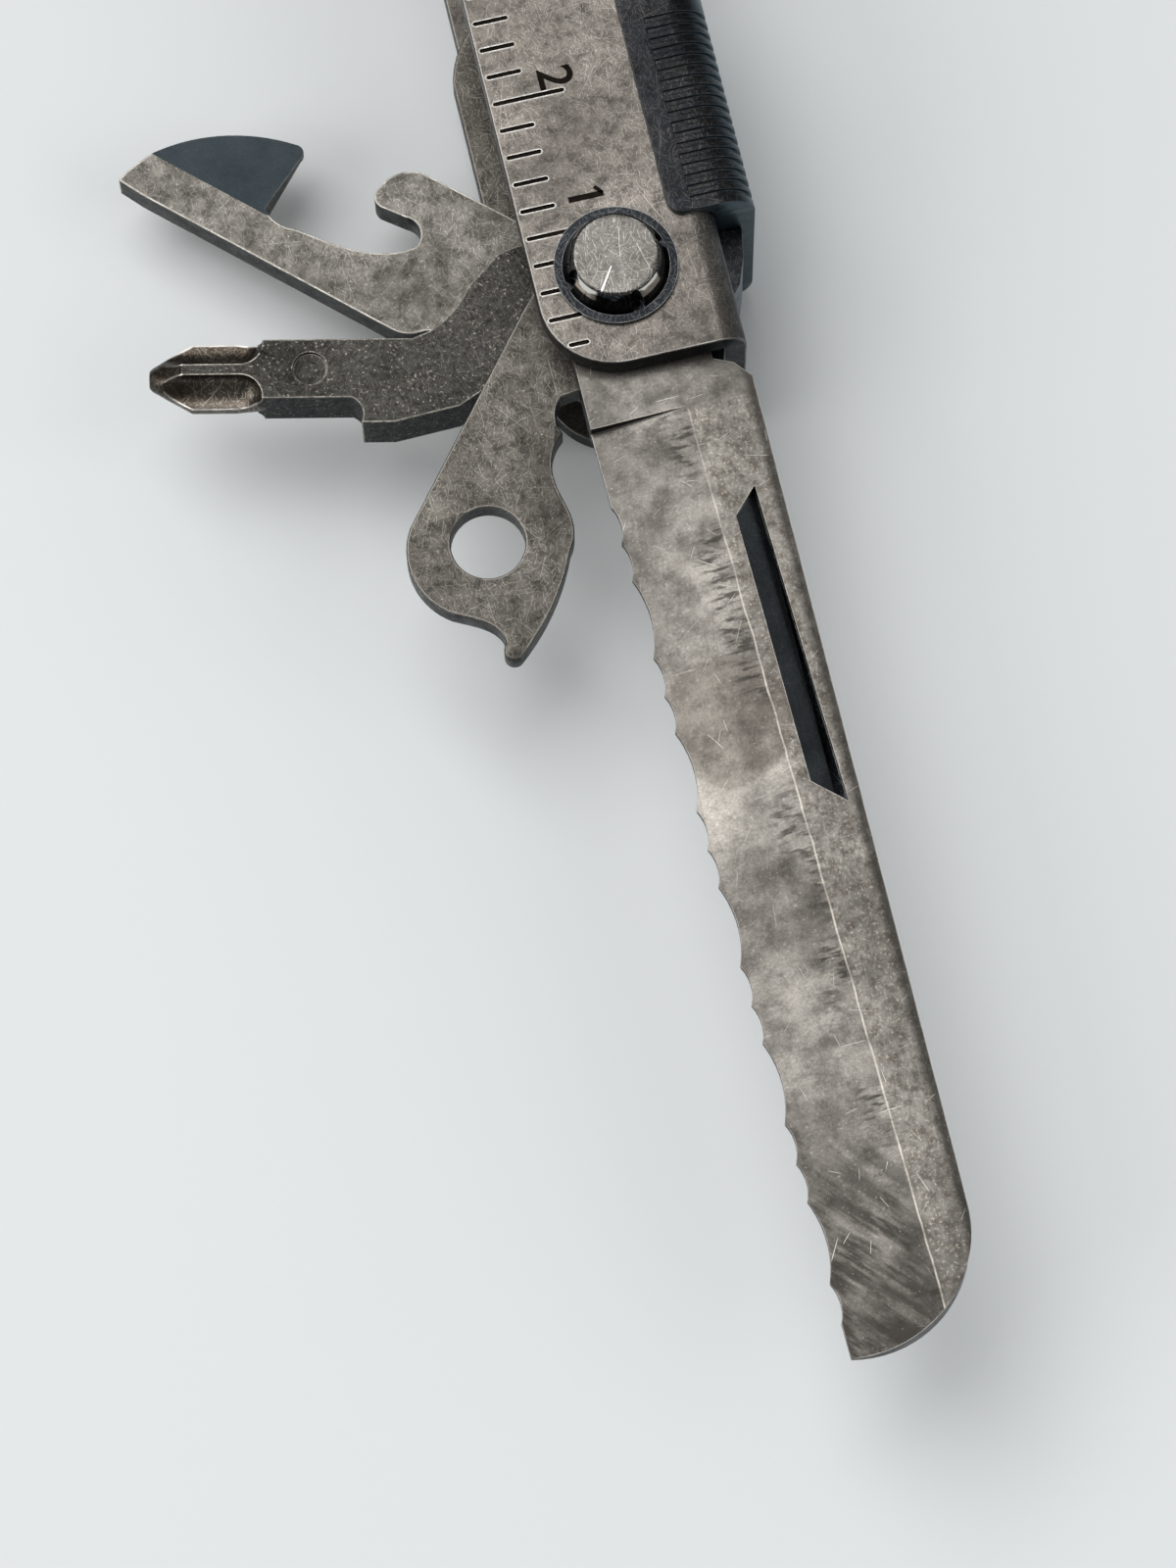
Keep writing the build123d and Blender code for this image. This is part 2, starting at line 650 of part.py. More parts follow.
# ---- plier head -----------------------------------------------------------
def make_jaw(upper):
    """One half of the head: nose, lap disc and tang. The lap is half thickness."""
    low = mid_level - head_thickness / 2
    lap_base = mid_level + joint_clear / 2 if upper else low
    clear_radius = joint_radius + joint_clear
    face_cuts = jaw_face_cuts(low)
    with BuildPart() as jaw:
        with BuildSketch(Plane(origin=(fold_line, pivot_reach, low), z_dir=(0, 0, 1))):
            # nose on the far side of the fold line
            with BuildLine():
                Polyline((-jaw_clear, 6.0), (-jaw_clear, jaw_length), (-jaw_tip_width, jaw_length))
                Spline((-jaw_tip_width, jaw_length), (-4.8, jaw_length - 16), (-8.8, 9.5), (-9.0, 4.0))
                Polyline((-9.0, 4.0), (-5.0, 3.0), (-jaw_clear, 6.0))
            make_face()
        extrude(amount=head_thickness)
        with BuildSketch(Plane.XY.offset(low)):
            # tang on the near side, down into the handle
            with BuildLine():
                Polyline((fold_line + 1.6, pivot_reach - 5.0), (fold_line + 6.6, pivot_reach - 6.6),
                         (tang_side, handle_top + 1.0), (tang_side, tang_end),
                         (-tang_open, tang_end), (-tang_open, handle_top - 4.0),
                         (fold_line + 1.6, handle_top + 2.0), close=True)
            make_face()
        extrude(amount=head_thickness)
        with BuildSketch(Plane(origin=(fold_line, pivot_reach, low), z_dir=(0, 0, 1))):
            Circle(clear_radius)
        extrude(amount=head_thickness, mode=Mode.SUBTRACT)
        # lap disc, joined to the nose and to the tang through the ring of clearance
        with BuildSketch(Plane(origin=(fold_line, pivot_reach, lap_base), z_dir=(0, 0, 1))):
            Circle(joint_radius)
            with BuildLine():
                Polyline((-jaw_clear, 7.5), (-jaw_clear, 10.5), (-7.5, 10.5), (-8.9, 4.4), (-5.5, 2.5),
                         close=True)
            make_face()
            with BuildLine():
                Polyline((1.9, -6.0), (6.6, -6.4), (8.2, -9.6), (3.2, -11.5), (1.9, -11.5), close=True)
            make_face()
        extrude(amount=(head_thickness - joint_clear) / 2)
        with BuildSketch(Plane(origin=(fold_line, pivot_reach, low), z_dir=(0, 0, 1))):
            Circle(pivot_rivet_radius + fit)
        extrude(amount=head_thickness, mode=Mode.SUBTRACT)
        add(face_cuts, mode=Mode.SUBTRACT)
        with BuildSketch(Plane.XY.offset(low)):
            with Locations(*pin_places()):
                Circle(carriage_pin_radius + fit / 2)
        extrude(amount=head_thickness, mode=Mode.SUBTRACT)
        # nose thins towards the tip
        with BuildSketch(Plane.YZ.offset(fold_line - 12)):
            for level, sign in ((low, 1), (low + head_thickness, -1)):
                with BuildLine():
                    Polyline((pivot_reach + 12, level), (pivot_reach + jaw_length + 1, level),
                             (pivot_reach + jaw_length + 1, level + sign * 2.2), close=True)
                make_face()
        extrude(amount=13, mode=Mode.SUBTRACT)
    return jaw.part


def jaw_face_cuts(low):
    """Fine teeth at the nose, a round pipe grip, and the wire cutter's bevel."""
    teeth = int((jaw_length * 0.42) / tooth_pitch)
    with BuildPart() as cuts:
        with BuildSketch(Plane.XY.offset(low)):
            for tooth in range(teeth):
                y = pivot_reach + jaw_length - 1.2 - tooth * tooth_pitch
                with Locations((fold_line - jaw_clear, y)):
                    Rectangle(2 * tooth_depth, tooth_pitch / 2)
            with Locations((fold_line, pivot_reach + jaw_length * 0.46)):
                Circle(pipe_grip_radius)
        extrude(amount=head_thickness)
        with BuildSketch(Plane.XZ.offset(-pivot_reach - joint_radius - 0.8)):
            with BuildLine():
                Polyline((fold_line + 1, mid_level + head_thickness), (fold_line - jaw_clear, mid_level),
                         (fold_line - 3.0, mid_level + head_thickness), close=True)
            make_face()
        extrude(amount=-6.5)
    return cuts.part


def pin_places():
    return [(0, handle_top - 5.0), (0, tang_end + 4.0)]


def make_carriage():
    """Block that seats the tang in the channel; a slot holds the tang."""
    height = well - 2 * slide_gap
    start = tang_end - 1.0
    with BuildPart() as carriage:
        with BuildSketch(Plane.XY.offset(floor_level + slide_gap)):
            with Locations(((carriage_side - carriage_open) / 2, start + (tang_length - 1.0) / 2)):
                Rectangle(carriage_side + carriage_open, tang_length - 1.0)
            with Locations(*pin_places()):
                Circle(carriage_pin_radius, mode=Mode.SUBTRACT)
        extrude(amount=height)
        with BuildSketch(Plane.XZ.offset(-tang_end + fit)):
            with Locations(((tang_side - carriage_open - 1) / 2, mid_level)):
                Rectangle(tang_side + carriage_open + 1 + 2 * fit, head_thickness + 2 * fit)
        extrude(amount=-tang_length, mode=Mode.SUBTRACT)
        with BuildSketch(Plane.YZ.offset(tang_side - fit)):
            with Locations((button_level, mid_level)):
                Rectangle(button_length + 2 * (button_lip + slide_gap),
                          button_width + 2 * (button_lip + slide_gap))
        extrude(amount=carriage_side, mode=Mode.SUBTRACT)
    return carriage.part


def make_carriage_pins():
    with BuildPart() as pins:
        with BuildSketch(Plane.XY.offset(floor_level + slide_gap)):
            with Locations(*pin_places()):
                Circle(carriage_pin_radius)
        extrude(amount=well - 2 * slide_gap)
    return pins.part


def make_button():
    """Release button: a lip behind the window and a ribbed head through it."""
    lip_start = spine_inner - slide_gap - button_lip * 0.5
    with BuildPart() as button:
        with BuildSketch(Plane.YZ.offset(lip_start)):
            with Locations((button_level, mid_level)):
                Rectangle(button_length + 2 * button_lip, button_width + 2 * button_lip)
        extrude(amount=button_lip * 0.5)
        with BuildSketch(Plane.YZ.offset(lip_start)):
            with Locations((button_level, mid_level)):
                Rectangle(button_length, button_width)
        extrude(amount=spine_outer + button_proud - lip_start)
        fillet(button.edges().group_by(Axis.X)[-1], 0.6)
        for rib in range(-3, 4):
            with BuildSketch(Plane.XZ.offset(-button_level - rib * 1.4)):
                with Locations((spine_outer + button_proud, mid_level)):
                    Rectangle(0.9, button_width + 1)
            extrude(amount=0.35, both=True, mode=Mode.SUBTRACT)
    return button.part


# ---- plier pivot ----------------------------------------------------------
def make_pivot_rivet():
    low = mid_level - head_thickness / 2
    with BuildPart() as rivet:
        with BuildSketch(Plane(origin=(fold_line, pivot_reach, low - pivot_head), z_dir=(0, 0, 1))):
            Circle(pivot_head_radius)
        extrude(amount=pivot_head - fit)
        with BuildSketch(Plane(origin=(fold_line, pivot_reach, low + head_thickness + fit), z_dir=(0, 0, 1))):
            Circle(pivot_head_radius)
        extrude(amount=pivot_head - fit)
        rims = rivet.edges().filter_by(GeomType.CIRCLE).sort_by(Axis.Z)
        chamfer([rims[0], rims[-1]], pivot_head / 3)
        with BuildSketch(Plane(origin=(fold_line, pivot_reach, low - pivot_head / 2), z_dir=(0, 0, 1))):
            Circle(pivot_rivet_radius)
        extrude(amount=head_thickness + pivot_head)
    return rivet.part


# ---- everything, in place -------------------------------------------------
def right_pieces():
    stack = right_stack
    tools = {
        "serrated_knife": make_blade(right_base["serrated_knife"], stack["serrated_knife"], True),
        "lanyard_hook": make_lanyard_hook(),
        "phillips_driver": make_phillips(),
        "can_opener": make_can_opener(),
        "medium_flat_driver": make_flat_driver(
            right_base["medium_flat_driver"], stack["medium_flat_driver"], 40.0, 5.0, 1.6),
    }
    for tool in open_angle:
        tools[tool] = tools[tool].rotate(Axis.Z, open_angle[tool])
    return tools


def left_pieces():
    stack = left_stack
    return {
        "plain_knife": make_blade(left_base["plain_knife"], stack["plain_knife"], False),
        "wood_metal_file": make_file(left_base["wood_metal_file"], stack["wood_metal_file"]),
        "large_flat_driver": make_flat_driver(
            left_base["large_flat_driver"], stack["large_flat_driver"], 50.0, 7.0, 1.2),
        "small_flat_driver": make_flat_driver(
            left_base["small_flat_driver"], stack["small_flat_driver"], 44.0, 3.0, 1.8),
        "tool_spacer": make_stack_spacer(),
    }


def handle_pieces(side):
    """The pieces that both handles have, drawn for the right-hand one."""
    return {
        f"{side}_handle": make_handle(),
        f"{side}_tool_axle": make_axle(),
        f"{side}_axle_nut": make_axle_nut(),
        f"{side}_tool_washers": make_washers(right_stack if side == "right" else left_stack),
        f"{side}_lock_slider": make_lock_slider(),
        f"{side}_lock_plate": make_lock_plate(),
        f"{side}_lock_spring": make_lock_spring(),
        f"{side}_jaw": make_jaw(side == "left"),
        f"{side}_head_carriage": make_carriage(),
        f"{side}_carriage_pins": make_carriage_pins(),
        f"{side}_release_button": make_button(),
        f"{side}_release_spring": make_release_spring(),
    }


def swing_left(piece):
    return mirror(piece, about=Plane.YZ.offset(fold_line)).rotate(plier_axis, -spread)


def all_pieces():
    pieces = handle_pieces("right")
    pieces.update(right_pieces())
    pieces["plier_pivot"] = make_pivot_rivet()
    for name, piece in {**handle_pieces("left"), **left_pieces()}.items():
        pieces[name] = swing_left(piece)
    return pieces


def stand(pieces):
    """Move everything so that the origin is under the middle of the whole tool."""
    boxes = [piece.bounding_box() for piece in pieces.values()]
    middle_x = (min(box.min.X for box in boxes) + max(box.max.X for box in boxes)) / 2
    middle_y = (min(box.min.Y for box in boxes) + max(box.max.Y for box in boxes)) / 2
    lowest = min(box.min.Z for box in boxes)
    shift = Location((-middle_x, -middle_y, -lowest))
    return {name: piece.moved(shift) for name, piece in pieces.items()}, shift


if __name__ == "__main__":
    os.makedirs("parts", exist_ok=True)
    placed, shift = stand(all_pieces())
    for name, piece in placed.items():
        piece.label = name
        export_step(piece, f"parts/{name}.step")
    print(len(placed), "pieces, shifted by", shift)
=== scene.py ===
import bmesh
import bpy
import json
import math
from mathutils import Matrix, Vector

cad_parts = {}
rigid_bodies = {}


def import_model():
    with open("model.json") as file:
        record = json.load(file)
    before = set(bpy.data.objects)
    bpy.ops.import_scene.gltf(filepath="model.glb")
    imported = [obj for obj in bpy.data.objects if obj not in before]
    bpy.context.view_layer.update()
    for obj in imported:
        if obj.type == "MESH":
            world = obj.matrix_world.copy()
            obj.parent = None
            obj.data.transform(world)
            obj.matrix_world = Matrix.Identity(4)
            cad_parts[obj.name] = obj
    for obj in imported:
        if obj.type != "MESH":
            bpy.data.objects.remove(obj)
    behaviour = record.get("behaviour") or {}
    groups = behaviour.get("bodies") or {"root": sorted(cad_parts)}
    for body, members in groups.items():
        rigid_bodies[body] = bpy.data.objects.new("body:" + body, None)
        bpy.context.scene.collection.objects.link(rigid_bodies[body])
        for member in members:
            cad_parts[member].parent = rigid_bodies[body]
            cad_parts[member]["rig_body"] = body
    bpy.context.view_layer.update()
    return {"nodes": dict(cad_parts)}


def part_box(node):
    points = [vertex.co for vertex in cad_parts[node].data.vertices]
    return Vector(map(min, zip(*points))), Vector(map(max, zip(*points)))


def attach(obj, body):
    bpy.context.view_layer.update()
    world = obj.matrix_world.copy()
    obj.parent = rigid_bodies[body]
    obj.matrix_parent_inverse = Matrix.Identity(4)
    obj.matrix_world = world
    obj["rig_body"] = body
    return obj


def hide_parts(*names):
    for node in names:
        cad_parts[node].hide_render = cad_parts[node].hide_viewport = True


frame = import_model()
mm = 0.001
print("frame loaded:", len(frame["nodes"]), "nodes")

# Every place below comes from the frame.
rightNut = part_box("right_axle_nut")
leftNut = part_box("left_axle_nut")
rightAxle = (rightNut[0] + rightNut[1]) / 2
leftAxle = (leftNut[0] + leftNut[1]) / 2
rightAxle.z = leftAxle.z = 0
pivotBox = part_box("plier_pivot")
pivot = (pivotBox[0] + pivotBox[1]) / 2
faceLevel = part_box("right_handle")[1].z
# The pivot stands a little to one side of each handle's own line, by the same angle.
leftTurn = math.atan2(pivot.x - leftAxle.x, pivot.y - leftAxle.y) + math.atan2(
    pivot.x - rightAxle.x, pivot.y - rightAxle.y)

cameraLook = {
    "azimuth": -11.64,  # degrees round the object, from straight along +Y
    "elevation": 72.6,
    "roll": -1.7,
    "aim": (-10.1, -34.7),  # mm from the right tool axle, on the handle's face
    "distance": 445.9,  # mm
    "lens": 157.5,  # mm, on a sensor as wide as the next one
    "sensor": 36,
    "clip": (0.01, 20),  # m
}


def makeCamera(look):
    azimuth = math.radians(look["azimuth"])
    elevation = math.radians(look["elevation"])
    back = Vector((math.sin(azimuth) * math.cos(elevation),
                   -math.cos(azimuth) * math.cos(elevation), math.sin(elevation)))
    aim = rightAxle + Vector((look["aim"][0] * mm, look["aim"][1] * mm, faceLevel))
    data = bpy.data.cameras.new("camera")
    data.lens = look["lens"]
    data.sensor_width = look["sensor"]
    data.clip_start, data.clip_end = look["clip"]
    camera = bpy.data.objects.new("camera", data)
    bpy.context.scene.collection.objects.link(camera)
    camera.rotation_mode = "QUATERNION"
    roll = Matrix.Rotation(math.radians(look["roll"]), 4, back)
    facing = (-back).to_track_quat("-Z", "Y").to_matrix().to_4x4()
    camera.rotation_quaternion = (roll @ facing).to_quaternion()
    camera.location = aim + back * look["distance"] * mm
    bpy.context.scene.camera = camera


makeCamera(cameraLook)
print("camera made")


# Colours are sRGB hex codes.
def sRGB(code):
    code = code.lstrip("#")
    values = [int(code[i:i + 2], 16) / 255 for i in (0, 2, 4)]
    linear = [v / 12.92 if v <= 0.04045 else ((v + 0.055) / 1.055) ** 2.4 for v in values]
    return (*linear, 1.0)


# Adds one shader node. Settings name a property, a socket, or "stops" for a colour ramp.
def addNode(tree, kind, settings=None, links=None, out=0):
    node = tree.nodes.new("ShaderNode" + kind)
    for key, value in (settings or {}).items():
        if key == "stops":
            while len(node.color_ramp.elements) < len(value):
                node.color_ramp.elements.new(0.5)
            for element, (place, color) in zip(node.color_ramp.elements, value):
                element.position = place
                element.color = color if isinstance(color, tuple) else (color, color, color, 1)
        elif isinstance(key, str) and hasattr(node, key):
            setattr(node, key, value)
        else:
            node.inputs[key].default_value = value
    for key, source in (links or {}).items():
        tree.links.new(source, node.inputs[key])
    return node.outputs[out] if node.outputs else node


# Short fine scratches: one in each cell of a Voronoi pattern, turned its own way.
def scratchMask(tree, place, look):
    mask = None
    whole, gone = look["scratchEnds"]
    for cell, length, width, shift in look["scratches"]:
        moved = addNode(tree, "VectorMath", {"operation": "ADD", 1: (shift, shift * 2, shift * 3)},
                        {0: place})
        voronoi = addNode(tree, "TexVoronoi", {"Scale": 1 / cell}, {"Vector": moved}).node
        angle = addNode(tree, "Math", {"operation": "MULTIPLY", 1: 2 * math.pi},
                        {0: voronoi.outputs["Color"]})
        offset = addNode(tree, "VectorMath", {"operation": "SUBTRACT"},
                         {0: moved, 1: voronoi.outputs["Position"]})
        turned = addNode(tree, "VectorRotate", {"rotation_type": "Z_AXIS"},
                         {"Vector": offset, "Angle": angle})
        parts = addNode(tree, "SeparateXYZ", links={0: turned}).node
        across = addNode(tree, "Math", {"operation": "ABSOLUTE"}, {0: parts.outputs["Y"]})
        along = addNode(tree, "Math", {"operation": "ABSOLUTE"}, {0: parts.outputs["X"]})
        thin = addNode(tree, "MapRange", {1: width / 2, 2: width, 3: 1.0, 4: 0.0}, {0: across})
        short = addNode(tree, "MapRange", {1: length * whole, 2: length * gone, 3: 1.0, 4: 0.0}, {0: along})
        one = addNode(tree, "Math", {"operation": "MULTIPLY"}, {0: thin, 1: short})
        mask = addNode(tree, "Math", {"operation": "MAXIMUM"}, {0: mask, 1: one}) if mask else one
    return mask


# Stainless steel under a black oxide that has worn off with use. To the eye it is a warm
# dark grey, clouded and stained, with a web of short pale scratches and bright bare edges.
# The upright sides are painted nearly black by their facing, a painted dark reflection of the room round
# them.
def makeWornSteel(name, look, addMarks=None):
    material = bpy.data.materials.new(name)
    material.use_nodes = True
    tree = material.node_tree
    tree.nodes.clear()
    coords = addNode(tree, "TexCoord").node
    place = addNode(tree, "Mapping", {"Scale": (1 / mm, 1 / mm, 1 / mm)},
                    {0: coords.outputs["Object"]})  # millimetres from here on
    cloud = addNode(tree, "TexNoise", {"Scale": 1 / look["cloudSize"], "Detail": 5, "Roughness": 0.6},
                    {"Vector": place})
    mottle = addNode(tree, "TexNoise", {"Scale": 1 / look["mottleSize"], "Detail": 6, "Roughness": 0.72},
                     {"Vector": place})
    grain = addNode(tree, "TexNoise", {"Scale": 1 / look["grainSize"], "Detail": 2, "Roughness": 0.5},
                    {"Vector": place})
    low, high = look["cloudRange"]
    topColor = addNode(tree, "ValToRGB", {"stops": [(low, sRGB(look["dark"])), (high, sRGB(look["light"]))]},
                       {0: cloud})
    low, high = look["stainRange"]
    stain = addNode(tree, "MapRange", {1: low, 2: high, 3: 0.0, 4: look["stainAmount"]}, {0: mottle})
    topColor = addNode(tree, "Mix", {"data_type": "RGBA", 7: sRGB(look["stain"])}, {0: stain, 6: topColor}, 2)
    low, high = look["grainRange"]
    grainShade = addNode(tree, "MapRange", {1: low, 2: high, 3: 1 - look["grainAmount"],
                                            4: 1 + look["grainAmount"]}, {0: grain})
    topColor = addNode(tree, "Mix", {"data_type": "RGBA", "blend_type": "MULTIPLY", 0: 1.0},
                       {6: topColor, 7: grainShade}, 2)
    if addMarks:
        topColor = addMarks(tree, place, topColor)
    geometry = addNode(tree, "NewGeometry").node
    # painted reflection: the more upright a face, the more of the dark side colour it takes
    facing = addNode(tree, "SeparateXYZ", links={0: geometry.outputs["Normal"]}, out="Z")
    flat = addNode(tree, "Math", {"operation": "ABSOLUTE"}, {0: facing})
    flat = addNode(tree, "MapRange", {1: look["sideFrom"], 2: look["topFrom"],
                                      3: 1 - look["sideAmount"], 4: 1.0}, {0: flat})
    steelColor = addNode(tree, "Mix", {"data_type": "RGBA", 6: sRGB(look["side"])}, {0: flat, 7: topColor}, 2)
    # scratches, more of them where the cloud is light
    scratch = scratchMask(tree, place, look)
    low, high = look["wearRange"]
    wear = addNode(tree, "MapRange", {1: low, 2: high, 3: look["scratchLeast"], 4: 1.0}, {0: cloud})
    scratch = addNode(tree, "Math", {"operation": "MULTIPLY"}, {0: scratch, 1: wear})
    scratch = addNode(tree, "Math", {"operation": "MULTIPLY"}, {0: scratch, 1: flat})
    scratchShow = addNode(tree, "Math", {"operation": "MULTIPLY", 1: look["scratchAmount"]}, {0: scratch})
    # worn edges: the rounded normal leaves the flat one only near an edge
    rounded = addNode(tree, "Bevel", {"samples": 8, "Radius": look["edgeWidth"] * mm})
    agree = addNode(tree, "VectorMath", {"operation": "DOT_PRODUCT"},
                    {0: rounded, 1: geometry.outputs["Normal"]}, "Value")
    low, high = look["edgeRange"]
    edge = addNode(tree, "MapRange", {1: low, 2: high, 3: 0.0, 4: look["edgeAmount"]}, {0: agree})
    low, high = look["breakRange"]
    edgeBreak = addNode(tree, "MapRange", {1: low, 2: high, 3: look["edgeLeast"], 4: 1.0}, {0: mottle})
    edge = addNode(tree, "Math", {"operation": "MULTIPLY"}, {0: edge, 1: edgeBreak})
    speck = addNode(tree, "MapRange", {1: look["speckFrom"], 2: look["speckFrom"] + look["speckBlur"], 3: 0.0,
                                       4: look["speckAmount"]}, {0: grain})
    bare = addNode(tree, "Math", {"operation": "MAXIMUM"}, {0: speck, 1: scratchShow})
    bare = addNode(tree, "Math", {"operation": "MAXIMUM", "use_clamp": True}, {0: bare, 1: edge})
    color = addNode(tree, "Mix", {"data_type": "RGBA", 7: sRGB(look["bare"])}, {0: bare, 6: steelColor}, 2)
    low, high = look["roughRange"]
    rough = addNode(tree, "MapRange", {1: low, 2: high, 3: look["roughLow"], 4: look["roughHigh"]},
                    {0: mottle})
    rough = addNode(tree, "Mix", {"data_type": "FLOAT", 3: look["roughBare"]}, {0: bare, 2: rough})
    height = addNode(tree, "Math", {"operation": "MULTIPLY_ADD", 1: look["grainBump"]}, {0: grain, 2: mottle})
    height = addNode(tree, "Math", {"operation": "SUBTRACT"}, {0: height, 1: scratch})
    bump = addNode(tree, "Bump", {"Strength": look["bump"], "Distance": look["bumpDeep"] * mm},
                   {"Height": height})
    shader = addNode(tree, "BsdfPrincipled", {"Metallic": look["metallic"]},
                     {"Base Color": color, "Roughness": rough, "Normal": bump})
    addNode(tree, "OutputMaterial", links={0: shader})
    return material


# Sizes are in mm. A range is the stretch of a noise over which its effect comes in.
wornSteel = {
    # side is a painted dark reflection, given to upright faces
    "dark": "#5f5a55", "light": "#867f77", "stain": "#3d3935", "side": "#0f1315", "bare": "#c4bfb7",
    "cloudSize": 7.0, "mottleSize": 1.1, "grainSize": 0.16, "stainAmount": 0.55, "grainAmount": 0.18,
    "cloudRange": (0.33, 0.67), "stainRange": (0.46, 0.68), "grainRange": (0.3, 0.7),
    "sideAmount": 0.95, "sideFrom": 0.42, "topFrom": 0.86,  # from an upright face at 0 to a level one at 1
    "speckFrom": 0.68, "speckBlur": 0.06, "speckAmount": 0.35,
    # cell, length, width and shift of each web, wider than real so that they show
    "scratches": [(0.62, 0.6, 0.032, 0.0), (0.45, 0.42, 0.03, 3.1), (1.7, 1.5, 0.034, 7.7),
                  (4.6, 3.4, 0.04, 11.3)],
    "scratchEnds": (0.35, 0.55), "scratchLeast": 0.15, "scratchAmount": 0.34, "wearRange": (0.35, 0.62),
    "edgeWidth": 0.26, "edgeLeast": 0.3, "edgeAmount": 0.85, "edgeRange": (0.985, 0.86),
    "breakRange": (0.38, 0.58),
    "roughRange": (0.35, 0.65), "roughLow": 0.34, "roughHigh": 0.52, "roughBare": 0.3,
    "bump": 0.3, "bumpDeep": 0.03, "grainBump": 0.5, "metallic": 1.0,
}


def variant(**changes):
    look = dict(wornSteel)
    look.update(changes)
    return look


# The ground blade, in mm from the axle along it, and across it towards the edge: a pale
# line where the grind meets the flat, pits and flecks behind it, dark smudges beside it,
# a rounded stain half way, and slanting oily streaks near the tip.
bladeMarks = {
    "length": 75.5, "grindStart": 10.2, "grindBlur": 0.2, "waveScale": 0.35,
    # share of the length, and how pale the steel is there
    "rubbed": [(0.16, 0.68), (0.3, 0.92), (0.5, 1.0), (0.72, 0.9), (0.86, 0.6)], "rubbedMost": 1.3,
}
grindLine = {
    "start": -2.6, "tilt": -0.0268, "wander": 0.3, "width": 0.09, "amount": 0.7, "color": "#b9b2a8",
    "breakScale": 0.5, "breakRange": (0.38, 0.54), "breakLeast": 0.4, "faint": (12.0, 34.0), "faintest": 0.35,
}
behindLine = {
    "from": (0.1, -0.3), "paleAmount": 0.45, "pale": "#7d7a74",
    "pitScale": 1.3, "pitRange": (0.44, 0.6), "pitAmount": 0.75, "pit": "#453f39",
    "fleckScale": 4.5, "fleckRange": (0.55, 0.68), "fleckAmount": 0.6, "fleck": "#aca393",
    # spine is painted shade along the rounded spine
    "spineShadeReach": (0.85, 0.35), "spineShadeAmount": 0.8, "spine": "#2c2a28",
}
smudges = {
    "stretch": (1.5, 0.35, 1), "turn": (0, 0, 0.12), "scale": 1.6, "range": (0.48, 0.6), "amount": 0.9,
    "middle": 0.9, "reach": (1.7, 0.6), "groupScale": 0.14, "groupRange": (0.44, 0.54), "color": "#33302d",
}
oilStreaks = {
    "stretch": (6.0, 1.0, 1), "turn": 42.0, "scale": 1.1, "range": (0.4, 0.56), "least": 0.1, "amount": 0.95,
    "start": (58.0, 67.0), "side": (-0.6, 1.4),
}
roundStain = {"place": (32.0, 0.2, 0), "reach": (5.7, 5.4), "wander": 2.2, "amount": 0.4, "color": "#443d37"}


